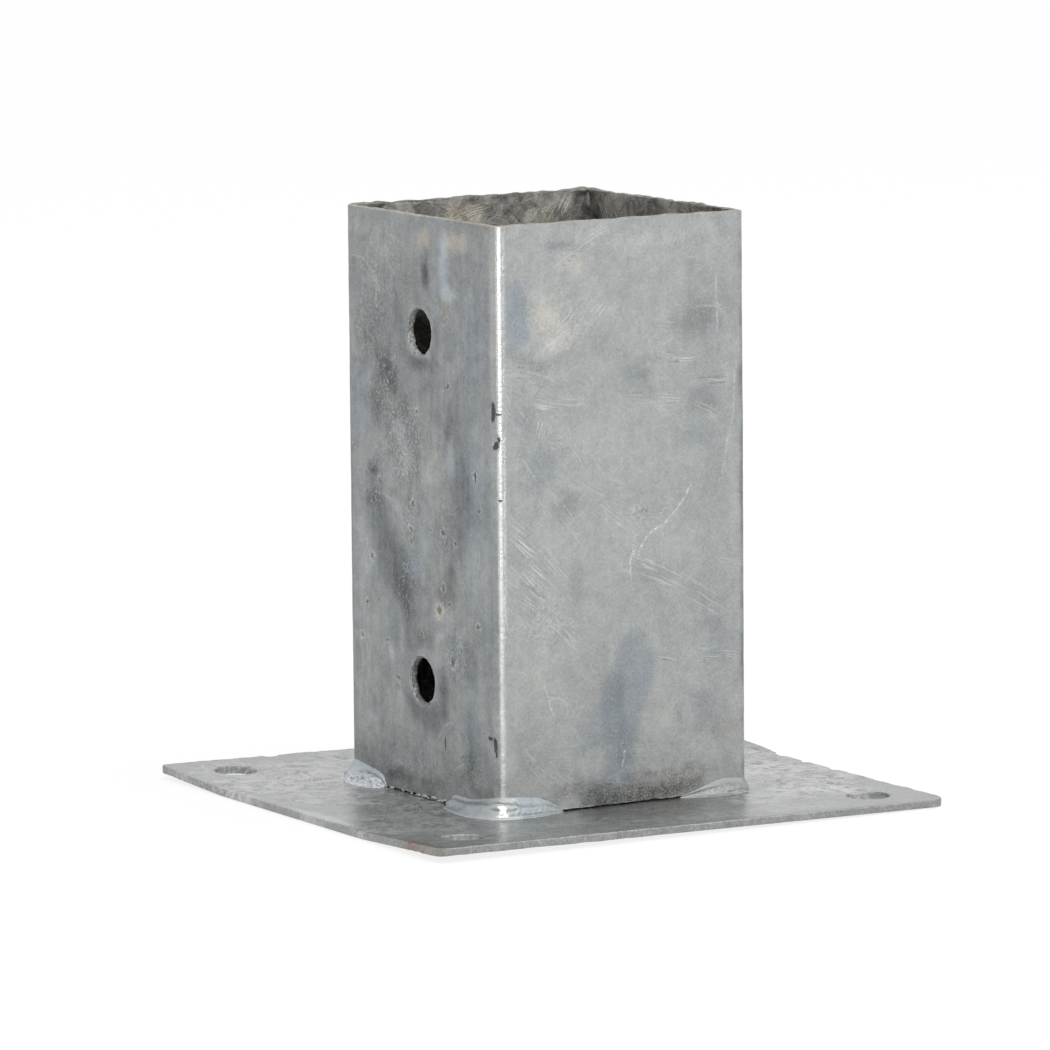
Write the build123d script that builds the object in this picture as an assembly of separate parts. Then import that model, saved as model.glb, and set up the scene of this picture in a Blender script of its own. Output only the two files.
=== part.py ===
"""Bolt-down timber post base: a square sheet-steel socket stitch-welded to a thin square plate.

Frame: millimetres, +Z up, origin on the underside of the plate at its centre.
The plain wall of the socket faces -Y. The walls with the bolt holes face -X and +X.
"""
import os
from math import cos, radians, sin, tan

from build123d import *

# Socket: one strip of sheet, folded three times and closed by a weld at the back corner
SOCKET_WIDTH = 75.0
SOCKET_HEIGHT = 150.0
SOCKET_SHEET = 2.0
BEND_INSIDE_RADIUS = 0.5
SEAM_CROWN = 0.35
SEAM_LUMP_RADIUS = 2.2
SEAM_LUMP_RISE = 0.5
SEAM_LUMP_CLEARANCE = 0.1

# Bolt holes through the two side walls, as far from the socket's foot as from its rim
BOLT_HOLE_DIAMETER = 12.0
BOLT_HOLE_INSET = 30.0

# Plate
PLATE_SIDE = 150.0
PLATE_SHEET = 2.0
PLATE_CORNER_RADIUS = 3.0
WORN_CORNER_RADIUS = 5.0
PLATE_TURN = -1.2
ANCHOR_HOLE_DIAMETER = 11.0
ANCHOR_HOLE_INSET = 15.0

# Sprung corners of the plate. Each one turns up along a straight bend line that passes outside a socket corner.
# Signs of the corner in x and y, direction of the bend line in degrees, its distance from the socket's corner,
# and the angle that the sheet turns up.
SPRUNG_CORNERS = {
    "left": (-1, 1, 23.7, 18.0, 2.5),
    "front": (-1, -1, -14.9, 7.2, 2.4),
    "back": (1, 1, -52.9, 9.6, 7.1),
}
SPRING_INSIDE_RADIUS = 60.0

# Corner welds. The gap is left between the socket and the plate where there is no bead.
FIT_UP_GAP = 0.4
WELD_ROOT = 0.8
WELD_BULGE = 0.4
WELD_END_LEG = 1.1
# Share of a run's length from the corner, and the share of its full legs that the bead has there
RUN_STATIONS = ((0.0, 1.0), (0.35, 0.93), (0.65, 0.78), (0.88, 0.52), (1.0, 0.0))
# Turn about Z from the front corner, length of the two runs from the corner, leg up the wall, leg on the plate
CORNER_WELDS = {
    "front": (0, 18.0, 25.0, 5.2, 3.6),
    "right": (90, 16.0, 18.5, 3.5, 2.4),
    "back": (180, 18.0, 18.0, 4.4, 4.0),
    "left": (270, 15.0, 17.0, 4.9, 4.0),
}

HALF_SOCKET = SOCKET_WIDTH / 2
HALF_PLATE = PLATE_SIDE / 2
BEND_OUTSIDE_RADIUS = BEND_INSIDE_RADIUS + SOCKET_SHEET
SOCKET_FOOT = PLATE_SHEET + FIT_UP_GAP
RIM = SOCKET_FOOT + SOCKET_HEIGHT
POCKET_HALF = HALF_SOCKET - SOCKET_SHEET
FREE_EDGE = HALF_SOCKET - BEND_OUTSIDE_RADIUS
REACH = 2 * PLATE_SIDE


def square_with_corners(side, radii):
    """Square outline centred on the origin. radii maps the signs of a corner to its rounding."""
    outline = Rectangle(side, side)
    for (sign_x, sign_y), radius in radii.items():
        corner = outline.vertices().sort_by_distance((sign_x * side / 2, sign_y * side / 2))[0]
        outline = fillet(corner, radius)
    return outline


def plate_outline():
    """The sheared outline of the plate, with its right corner worn rounder than the others."""
    radii = {
        (-1, 1): PLATE_CORNER_RADIUS,
        (-1, -1): PLATE_CORNER_RADIUS,
        (1, -1): WORN_CORNER_RADIUS,
        (1, 1): PLATE_CORNER_RADIUS,
    }
    return square_with_corners(PLATE_SIDE, radii)


def bend_plane(sign_x, sign_y, direction, distance):
    """Plane across a bend line: local x points out to the plate's corner, local y up, origin on the line."""
    outward = Vector(-sin(radians(direction)), cos(radians(direction)), 0)
    if outward.dot(Vector(sign_x, sign_y, 0)) < 0:
        outward = outward * -1
    on_line = Vector(sign_x * HALF_SOCKET, sign_y * HALF_SOCKET, 0) + outward * distance
    return Plane(origin=on_line, x_dir=outward, z_dir=outward.cross(Vector(0, 0, 1)))


def sprung_flap(plane, angle):
    """Endless strip of sheet that leaves the level plate tangentially and then rises at the given angle."""
    turn = radians(angle)
    start = -SPRING_INSIDE_RADIUS * tan(turn / 2)
    centre = (start, PLATE_SHEET + SPRING_INSIDE_RADIUS)
    slope = Vector(cos(turn), sin(turn))
    bottom = CenterArc(centre, SPRING_INSIDE_RADIUS + PLATE_SHEET, -90, angle)
    top = CenterArc(centre, SPRING_INSIDE_RADIUS, -90, angle)
    bottom_run = Line(bottom @ 1, bottom @ 1 + slope * PLATE_SIDE)
    top_run = Line(top @ 1, top @ 1 + slope * PLATE_SIDE)
    outer_end = Line(bottom_run @ 1, top_run @ 1)
    inner_end = Line(bottom @ 0, top @ 0)
    section = make_face([bottom, bottom_run, outer_end, top_run, top, inner_end])
    return extrude(plane * section, amount=REACH, both=True), start


def beyond(plane, start):
    """Everything on the plate's corner side of the line where the flap begins."""
    block = Box(REACH, REACH, 2 * REACH, align=(Align.MIN, Align.CENTER, Align.CENTER))
    return plane * (Location((start, 0, 0)) * block)


def base_plate():
    """Square plate with sprung corners and four punched anchor holes."""
    blank = extrude(plate_outline(), amount=PLATE_SHEET)
    column = Location((0, 0, -PLATE_SHEET)) * extrude(plate_outline(), amount=HALF_PLATE)
    plate = blank
    flaps = []
    for sign_x, sign_y, direction, distance, angle in SPRUNG_CORNERS.values():
        plane = bend_plane(sign_x, sign_y, direction, distance)
        strip, start = sprung_flap(plane, angle)
        plate = plate - beyond(plane, start)
        flaps.append(strip & column)
    for flap in flaps:
        plate = plate + flap
    pitch = PLATE_SIDE - 2 * ANCHOR_HOLE_INSET
    punch = Cylinder(ANCHOR_HOLE_DIAMETER / 2, PLATE_SIDE)
    for spot in GridLocations(pitch, pitch, 2, 2):
        plate = plate - spot * punch
    return Rotation(0, 0, PLATE_TURN) * plate


def socket():
    """Folded strip with three bends. Its two free edges stop where the fourth bend would start."""
    bends = [(-1, 1), (-1, -1), (1, -1)]
    outside = square_with_corners(SOCKET_WIDTH, {corner: BEND_OUTSIDE_RADIUS for corner in bends})
    inside = square_with_corners(2 * POCKET_HALF, {corner: BEND_INSIDE_RADIUS for corner in bends})
    notch = Rectangle(SOCKET_WIDTH, SOCKET_WIDTH, align=(Align.MIN, Align.MIN))
    strip = outside - inside - Location((FREE_EDGE, FREE_EDGE)) * notch
    sleeve = Location((0, 0, SOCKET_FOOT)) * extrude(strip, amount=SOCKET_HEIGHT)
    drill = Rotation(0, 90, 0) * Cylinder(BOLT_HOLE_DIAMETER / 2, 2 * SOCKET_WIDTH)
    for height in (BOLT_HOLE_INSET, SOCKET_HEIGHT - BOLT_HOLE_INSET):
        sleeve = sleeve - Location((0, 0, SOCKET_FOOT + height)) * drill
    return sleeve


def seam_weld(sleeve):
    """Bead that fills the open back corner from the foot to the rim and ends in a small lump on the rim."""
    crown = HALF_SOCKET - (1 - cos(radians(45))) * (HALF_SOCKET - FREE_EDGE) + SEAM_CROWN
    face = make_face(
        [
            Line((FREE_EDGE, POCKET_HALF), (POCKET_HALF, FREE_EDGE)),
            Line((POCKET_HALF, FREE_EDGE), (HALF_SOCKET, FREE_EDGE)),
            ThreePointArc((HALF_SOCKET, FREE_EDGE), (crown, crown), (FREE_EDGE, HALF_SOCKET)),
            Line((FREE_EDGE, HALF_SOCKET), (FREE_EDGE, POCKET_HALF)),
        ]
    )
    bead = Location((0, 0, SOCKET_FOOT)) * extrude(face, amount=SOCKET_HEIGHT)
    root = (POCKET_HALF + FREE_EDGE) / 2
    middle = root + (SEAM_LUMP_RADIUS + SEAM_LUMP_CLEARANCE) * cos(radians(45))
    lump = Location((middle, middle, RIM + SEAM_LUMP_RISE - SEAM_LUMP_RADIUS)) * Sphere(SEAM_LUMP_RADIUS)
    return bead + (lump - sleeve)


def bead_section(wall_leg, plate_leg):
    """Section of a fillet bead: x out from the wall, y up from the plate, with its root in the fit-up gap."""
    middle = Vector(plate_leg / 2, wall_leg / 2) + Vector(wall_leg, plate_leg).normalized() * WELD_BULGE
    toe, crest = (plate_leg, 0), (0, wall_leg)
    return make_face(
        [
            Line((-WELD_ROOT, 0), toe),
            ThreePointArc(toe, middle, crest),
            Line(crest, (0, FIT_UP_GAP)),
            Line((0, FIT_UP_GAP), (-WELD_ROOT, FIT_UP_GAP)),
            Line((-WELD_ROOT, FIT_UP_GAP), (-WELD_ROOT, 0)),
        ]
    )


def bead_run(length, wall_leg, plate_leg):
    """Straight run of bead along +X on the wall that faces -Y, tapering to its end."""
    stations = []
    for share, size in RUN_STATIONS:
        wall = WELD_END_LEG + (wall_leg - WELD_END_LEG) * size
        foot = WELD_END_LEG + (plate_leg - WELD_END_LEG) * size
        at = Plane(
            origin=(BEND_OUTSIDE_RADIUS + share * (length - BEND_OUTSIDE_RADIUS), 0, PLATE_SHEET),
            x_dir=(0, -1, 0),
            z_dir=(-1, 0, 0),
        )
        stations.append(at * bead_section(wall, foot))
    return loft(stations, ruled=True)


def corner_weld(turn, run_x, run_y, wall_leg, plate_leg):
    """Fillet bead that wraps one corner of the socket: two tapering runs joined round the bend."""
    across = Plane(
        origin=(BEND_OUTSIDE_RADIUS, 0, PLATE_SHEET),
        x_dir=(0, -1, 0),
        z_dir=(-1, 0, 0),
    )
    axis = Axis((BEND_OUTSIDE_RADIUS, BEND_OUTSIDE_RADIUS, 0), (0, 0, 1))
    bend = revolve(across * bead_section(wall_leg, plate_leg), axis, -90)
    along_x = bead_run(run_x, wall_leg, plate_leg)
    along_y = mirror(bead_run(run_y, wall_leg, plate_leg), Plane(origin=(0, 0, 0), z_dir=(1, -1, 0)))
    bead = bend + along_x + along_y
    return Rotation(0, 0, turn) * (Location((-HALF_SOCKET, -HALF_SOCKET, 0)) * bead)


def build():
    """All pieces by node name."""
    sleeve = socket()
    seam = seam_weld(sleeve)
    pieces = {"base_plate": base_plate(), "socket": sleeve, "seam_weld": seam}
    for name, sizes in CORNER_WELDS.items():
        bead = corner_weld(*sizes)
        if name == "back":
            bead = bead - seam
        pieces["weld_" + name] = bead
    return pieces


def main():
    os.makedirs("parts", exist_ok=True)
    for name, piece in build().items():
        solids = piece.solids()
        print(name, "solids", len(solids), "volume", round(sum(s.volume for s in solids), 1))
        export_step(solids[0] if len(solids) == 1 else Compound(children=solids), f"parts/{name}.step")


main()
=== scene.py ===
# %% [markdown]
# # A bolt-down timber post base
# This lesson dresses a small piece of builder's ironwork. A square socket, folded from 2 mm steel sheet,
# stands on a thin square plate. A short weld bead wraps each corner of its foot, and a seam bead closes the
# fourth corner. The whole thing was dipped in molten zinc, and that skin is what the lesson is about.
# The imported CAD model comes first. It fixes every size, and nothing in it moves.

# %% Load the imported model
import math

import bmesh
import bpy
import numpy as np
from mathutils import Matrix, Vector


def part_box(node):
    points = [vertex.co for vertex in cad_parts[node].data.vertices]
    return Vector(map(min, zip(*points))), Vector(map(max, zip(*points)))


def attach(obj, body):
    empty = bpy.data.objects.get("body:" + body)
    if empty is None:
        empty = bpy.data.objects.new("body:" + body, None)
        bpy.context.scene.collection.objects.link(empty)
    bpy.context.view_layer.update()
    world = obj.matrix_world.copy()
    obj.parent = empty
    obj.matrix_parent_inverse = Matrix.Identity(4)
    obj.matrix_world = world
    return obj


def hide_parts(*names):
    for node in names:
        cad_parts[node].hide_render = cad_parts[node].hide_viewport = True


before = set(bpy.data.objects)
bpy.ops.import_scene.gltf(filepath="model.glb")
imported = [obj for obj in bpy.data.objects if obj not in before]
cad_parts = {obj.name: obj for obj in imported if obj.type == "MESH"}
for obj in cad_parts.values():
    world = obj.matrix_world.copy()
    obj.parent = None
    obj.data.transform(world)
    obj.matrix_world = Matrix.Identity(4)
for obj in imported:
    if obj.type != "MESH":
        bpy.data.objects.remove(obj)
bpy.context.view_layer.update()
MM = 0.001
print("CAD pieces:", sorted(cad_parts))

# %% [markdown]
# ## Sizes that the looks share with the CAD
# The socket's foot, its rim and its half width are read from the imported socket; the plate's top is read later
# only to be printed beside the built plate. Sheet thickness and bend radius are the maker's figures: a folded
# sheet bends round a small inside radius, here 0.5 mm, and the outside radius is that plus the thickness of the sheet.

# %% Sizes in millimetres
socket_low, socket_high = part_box("socket")
FOOT = socket_low.z / MM
RIM = socket_high.z / MM
HALF_SOCKET = socket_high.x / MM
SHEET = 2.0
INSIDE_BEND = 0.5
OUTSIDE_BEND = INSIDE_BEND + SHEET
MIDDLE_BEND = INSIDE_BEND + SHEET / 2
STRAIGHT = 2 * (HALF_SOCKET - OUTSIDE_BEND)
HALF_PLATE = 75.0
PLATE_TURN = np.radians(-1.2)
BOLT_HOLE_RADIUS = 6.0
BOLT_HOLE_HEIGHTS = (30.0, 120.0)
ANCHOR_HOLE_RADIUS = 5.5
ANCHOR_HOLE_REACH = 60.0
print("foot", round(FOOT, 2), "rim", round(RIM, 2), "half width", round(HALF_SOCKET, 2))

# %% [markdown]
# ## Noise that can be repeated
# Zinc freezes with a soft, uneven skin. Its relief is made with value noise: a fixed pseudo-random height at
# each point of a lattice, and a smooth blend between the points. The heights come from whole-number
# arithmetic, so the same lumps appear in the same place each time the lesson runs.

# %% Smooth noise on a lattice
HASH_MASK = 0xFFFFFFFF
HASH_STEPS = (73856093, 19349663, 83492791, 2654435)
HASH_SPREAD = 1274126177


def lattice_height(i, j, k, seed):
    """A fixed number from -1 to 1 for each whole-number point."""
    mixed = (i * HASH_STEPS[0]) ^ (j * HASH_STEPS[1]) ^ (k * HASH_STEPS[2]) ^ (seed * HASH_STEPS[3])
    mixed = mixed & HASH_MASK
    mixed = ((mixed ^ (mixed >> 13)) * HASH_SPREAD) & HASH_MASK
    mixed = ((mixed ^ (mixed >> 15)) * HASH_SPREAD) & HASH_MASK
    return ((mixed ^ (mixed >> 16)) & HASH_MASK) / (HASH_MASK / 2) - 1


def lumps(points, size, seed=0):
    """Smooth noise from -1 to 1. size is the spacing of the lumps in mm, one number or one for each axis."""
    scaled = points / np.asarray(size, float) + 0.37 * seed
    cell = np.floor(scaled).astype(np.int64)
    part = scaled - cell
    part = part * part * (3 - 2 * part)
    total = np.zeros(len(points))
    for a in (0, 1):
        for b in (0, 1):
            for c in (0, 1):
                weight = (
                    np.abs(1 - a - part[:, 0]) * np.abs(1 - b - part[:, 1]) * np.abs(1 - c - part[:, 2])
                )
                total += weight * lattice_height(cell[:, 0] + a, cell[:, 1] + b, cell[:, 2] + c, seed)
    return total


def ramp(value, low, high):
    """0 below low, 1 above high, and a smooth rise between them."""
    share = np.clip((value - low) / (high - low), 0, 1)
    return share * share * (3 - 2 * share)


sample = lumps(np.linspace(0, 50, 300).reshape(-1, 3), 4.0)
print("noise runs from", round(sample.min(), 2), "to", round(sample.max(), 2))

# %% [markdown]
# ## A sheet with round holes
# Both big pieces are sheet metal with round holes. A flat grid is easy to shape and to dent, but a grid has no
# round holes. So a square block of the grid is taken out round each hole, and rings of points lead from the
# square's edge to the circle. Every face stays a neat four-sided one, which takes relief without creases.

# %% Grid with rings round its holes
RING_SHARES = (0.25, 0.48, 0.68, 0.83, 0.93, 1.0)
RING_MARGIN = 3.2


def grid_with_holes(us, vs, holes):
    """Points, quads and edge loops of a grid. Each hole is (centre u, centre v, radius)."""
    index = np.arange(len(us) * len(vs)).reshape(len(us), len(vs))
    points = np.stack(np.meshgrid(us, vs, indexing="ij"), -1).reshape(-1, 2)
    keep = np.ones((len(us) - 1, len(vs) - 1), bool)
    extra_points, extra_quads, loops = [], [], []
    count = len(points)
    for centre_u, centre_v, radius in holes:
        reach = radius + RING_MARGIN
        i0, i1 = np.searchsorted(us, (centre_u - reach, centre_u + reach))
        j0, j1 = np.searchsorted(vs, (centre_v - reach, centre_v + reach))
        keep[i0:i1, j0:j1] = False
        around = np.concatenate(
            [index[i0:i1, j0], index[i1, j0:j1], index[i1:i0:-1, j1], index[i0, j1:j0:-1]]
        )
        outer = points[around]
        away = outer - (centre_u, centre_v)
        circle = radius * away / np.linalg.norm(away, axis=1)[:, None] + (centre_u, centre_v)
        before = around
        for share in RING_SHARES:
            ring = np.arange(count, count + len(around))
            extra_points.append(outer * (1 - share) + circle * share)
            extra_quads.append(np.stack([before, np.roll(before, -1), np.roll(ring, -1), ring], 1))
            before = ring
            count += len(around)
        loops.append((before, -1))
    low_left, low_right = index[:-1, :-1][keep], index[1:, :-1][keep]
    top_right, top_left = index[1:, 1:][keep], index[:-1, 1:][keep]
    quads = np.concatenate([np.stack([low_left, low_right, top_right, top_left], 1), *extra_quads])
    points = np.concatenate([points, *extra_points])
    border = np.concatenate([index[:-1, 0], index[-1, :-1], index[:0:-1, -1], index[0, :0:-1]])
    loops.append((border, 1))
    return points, quads, loops


# %% [markdown]
# ## From a flat grid to a closed sheet
# Two copies of the grid become the two skins of the sheet. Round every edge, a few rows of points carry one
# skin over to the other with a small rounding, because zinc never leaves a sharp arris.

# %% Close the two skins round every edge
EDGE_ROUNDING = 0.38
EDGE_ROWS = (30, 60, 90)


def closed_sheet(flat, quads, loops, place, half):
    """Points in mm and faces of a sheet, and which points lie on its cut edges. place turns flat points and a
    distance from the middle of the sheet into space."""
    flat = flat.copy()
    outward = {}
    for number, (loop, side) in enumerate(loops):
        along = np.roll(flat[loop], -1, 0) - np.roll(flat[loop], 1, 0)
        normal = np.stack([along[:, 1], -along[:, 0]], 1)
        outward[number] = side * normal / np.linalg.norm(normal, axis=1)[:, None]
    for number, (loop, side) in enumerate(loops):
        flat[loop] -= EDGE_ROUNDING * outward[number]
    count = len(flat)
    everything = [place(flat, np.full(count, half)), place(flat, np.full(count, -half))]
    faces = [quads, quads[:, ::-1] + count]
    total = 2 * count
    turns = [np.radians(a) for a in EDGE_ROWS]
    rows = [(np.sin(a), half - EDGE_ROUNDING * (1 - np.cos(a))) for a in turns]
    rows += [(1.0, half * 0.35), (1.0, -half * 0.35)]
    rows += [(np.sin(a), -half + EDGE_ROUNDING * (1 - np.cos(a))) for a in reversed(turns)]
    for number, (loop, side) in enumerate(loops):
        before = loop
        for out, depth in rows:
            edge = flat[loop] + EDGE_ROUNDING * out * outward[number]
            everything.append(place(edge, np.full(len(loop), depth)))
            row = np.arange(total, total + len(loop))
            faces.append(np.stack([np.roll(before, -1), before, row, np.roll(row, -1)], 1))
            before = row
            total += len(loop)
        low = loop + count
        faces.append(np.stack([np.roll(before, -1), before, low, np.roll(low, -1)], 1))
    points = np.concatenate(everything)
    return points, np.concatenate(faces), np.arange(len(points)) >= 2 * count


def make_piece(name, points, faces):
    """A smooth-shaded mesh object from points in mm, with its faces turned outwards."""
    mesh = bpy.data.meshes.new(name)
    mesh.from_pydata((points * MM).tolist(), [], [list(face) for face in faces])
    shaper = bmesh.new()
    shaper.from_mesh(mesh)
    bmesh.ops.recalc_face_normals(shaper, faces=shaper.faces)
    shaper.to_mesh(mesh)
    shaper.free()
    mesh.polygons.foreach_set("use_smooth", [True] * len(mesh.polygons))
    piece = bpy.data.objects.new(name, mesh)
    bpy.context.scene.collection.objects.link(piece)
    triangles = sum(len(face) - 2 for face in faces)
    print(name, "points", len(points), "triangles", triangles)
    return piece


def normals_of(piece):
    """Outward direction at each point of the mesh."""
    mesh = piece.data
    found = np.zeros(3 * len(mesh.vertices))
    mesh.vertex_normals.foreach_get("vector", found)
    return found.reshape(-1, 3)


def raise_surface(piece, points, heights):
    """Move each point along its own outward direction by a height in mm."""
    moved = points + normals_of(piece) * heights[:, None]
    piece.data.vertices.foreach_set("co", (moved * MM).astype(np.float32).ravel())
    piece.data.update()
    print(piece.name, "relief in mm from", round(heights.min(), 2), "to", round(heights.max(), 2))
    return moved


# %% [markdown]
# ## The folded strip
# The socket is one strip, bent three times. Its unrolled length is four straight walls and three bends, and
# the strip's position tells which wall or bend a point belongs to. The walls follow each other clockwise from
# the open back corner: right, front, left, back. "Front" is the plain wall with the scratches, "left" is the
# wall with the bolt holes that the camera sees.

# %% Roll the strip up into a socket
BEND_LENGTH = np.pi / 2 * MIDDLE_BEND
WALL_PITCH = STRAIGHT + BEND_LENGTH
WALLS = ("right", "front", "left", "back")
WALL_WAYS = ((0, -1), (-1, 0), (0, 1), (1, 0))
WALL_FACES = ((1, 0), (0, -1), (-1, 0), (0, 1))
WALL_STEPS = 66
BEND_STEPS = 8
HEIGHT_STEPS = 141
FINE_ROW = 0.5


def strip_columns():
    """Places along the strip: even steps on the walls, finer ones in the bends and at the free edges."""
    columns = []
    for number in range(4):
        start = number * WALL_PITCH
        wall = np.linspace(start, start + STRAIGHT, WALL_STEPS + 1)
        columns.append(wall)
        if number < 3:
            bend = np.linspace(start + STRAIGHT, start + WALL_PITCH, BEND_STEPS + 1)
            columns.append(bend[1:-1])
    joined = np.concatenate(columns)
    return np.sort(np.append(joined, (FINE_ROW * 1.6, joined[-1] - FINE_ROW * 1.6)))


def roll_up(flat, depth):
    """Space in mm for points of the flat strip; depth is measured outwards from the middle of the sheet."""
    along, height = flat[:, 0], flat[:, 1]
    number = np.clip(np.floor(along / WALL_PITCH).astype(int), 0, 3)
    run = along - number * WALL_PITCH
    way, face = np.array(WALL_WAYS, float)[number], np.array(WALL_FACES, float)[number]
    centre = (way + face) * STRAIGHT / 2
    turn = np.clip((run - STRAIGHT) / MIDDLE_BEND, 0, None) * (number < 3)
    past = np.where(number < 3, np.minimum(run, STRAIGHT), run)
    direction = np.cos(turn)[:, None] * face + np.sin(turn)[:, None] * way
    plan = centre - way * (STRAIGHT - past)[:, None] + direction * (MIDDLE_BEND + depth)[:, None]
    return np.column_stack([plan, FOOT + height])


heights = np.linspace(0, RIM - FOOT, HEIGHT_STEPS + 1)
heights = np.sort(np.append(heights, (FINE_ROW, RIM - FOOT - FINE_ROW)))
hole_columns = [number * WALL_PITCH + STRAIGHT / 2 for number in (0, 2)]
bolt_holes = [(column, height, BOLT_HOLE_RADIUS) for column in hole_columns for height in BOLT_HOLE_HEIGHTS]
flat, quads, loops = grid_with_holes(strip_columns(), heights, bolt_holes)
socket_points, socket_faces, socket_cut = closed_sheet(flat, quads, loops, roll_up, SHEET / 2)
socket = make_piece("socket_skin", socket_points, socket_faces)

# %% [markdown]
# ## Where each mark goes
# A mark on a wall is placed by two numbers, as on a map: how far along the wall, and how high. The same map
# serves all four walls. A mark's edge is made ragged with noise, because zinc clouds have no neat outline.

# %% Map of the socket's walls
plan = socket_points[:, :2]
facing = np.stack([plan @ np.array(face, float) for face in WALL_FACES], 1)
wall_number = facing.argmax(1)
outer_skin = facing.max(1) > HALF_SOCKET - SHEET / 2
map_across = np.choose(
    wall_number, [socket_points[:, 1], socket_points[:, 0], -socket_points[:, 1], -socket_points[:, 0]]
)
map_up = socket_points[:, 2]
ragged = 0.34 * lumps(socket_points, 7.0, 3) + 0.28 * lumps(socket_points, 2.9, 4)
ragged += 0.16 * lumps(socket_points, 1.4, 15)


def on_wall(name, inside=False):
    """True for the points of one wall's outer or inner skin."""
    return (wall_number == WALLS.index(name)) & (outer_skin != inside)


def oval(across, up, centre, radii, turn=0.0, rough=0.0, solid=0.6):
    """1 in the middle of an oval, falling to 0 at its edge. turn is in degrees. solid is the share of the radius
    where the fall begins."""
    c, s = np.cos(np.radians(turn)), np.sin(np.radians(turn))
    da, du = across - centre[0], up - centre[1]
    distance = np.hypot((c * da + s * du) / radii[0], (c * du - s * da) / radii[1])
    return 1 - ramp(distance + rough, solid, 1.2)


FAR = 1e9


def band(points, chain):
    """How far points lie inside the outline of a chain of circles, in mm, minus outside. Each link of the chain
    is (across, up, half width), and the width changes evenly from one link to the next."""
    inside = np.full(len(points), -FAR)
    for (x0, y0, w0), (x1, y1, w1) in zip(chain[:-1], chain[1:]):
        start, run = np.array((x0, y0), float), np.array((x1 - x0, y1 - y0), float)
        share = np.clip(((points - start) @ run) / (run @ run), 0, 1)
        away = np.linalg.norm(points - start - share[:, None] * run, axis=1)
        inside = np.maximum(inside, w0 * (1 - share) + w1 * share - away)
    return inside


print("points on the front wall:", int(on_wall("front").sum()), "and inside it:", int(on_wall("front", True).sum()))

# %% [markdown]
# ## Clouds, streaks and soot on the walls
# Each cloud is an oval with two strengths. "tone" makes it paler or darker, and "cool" turns it blue-grey or,
# with a minus, beige. The front wall has broad soft clouds and one long blue-grey shadow above a sooty band,
# where the welding heat burnt the steel. The side wall has dark upright streaks and a granular belt.

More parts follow.
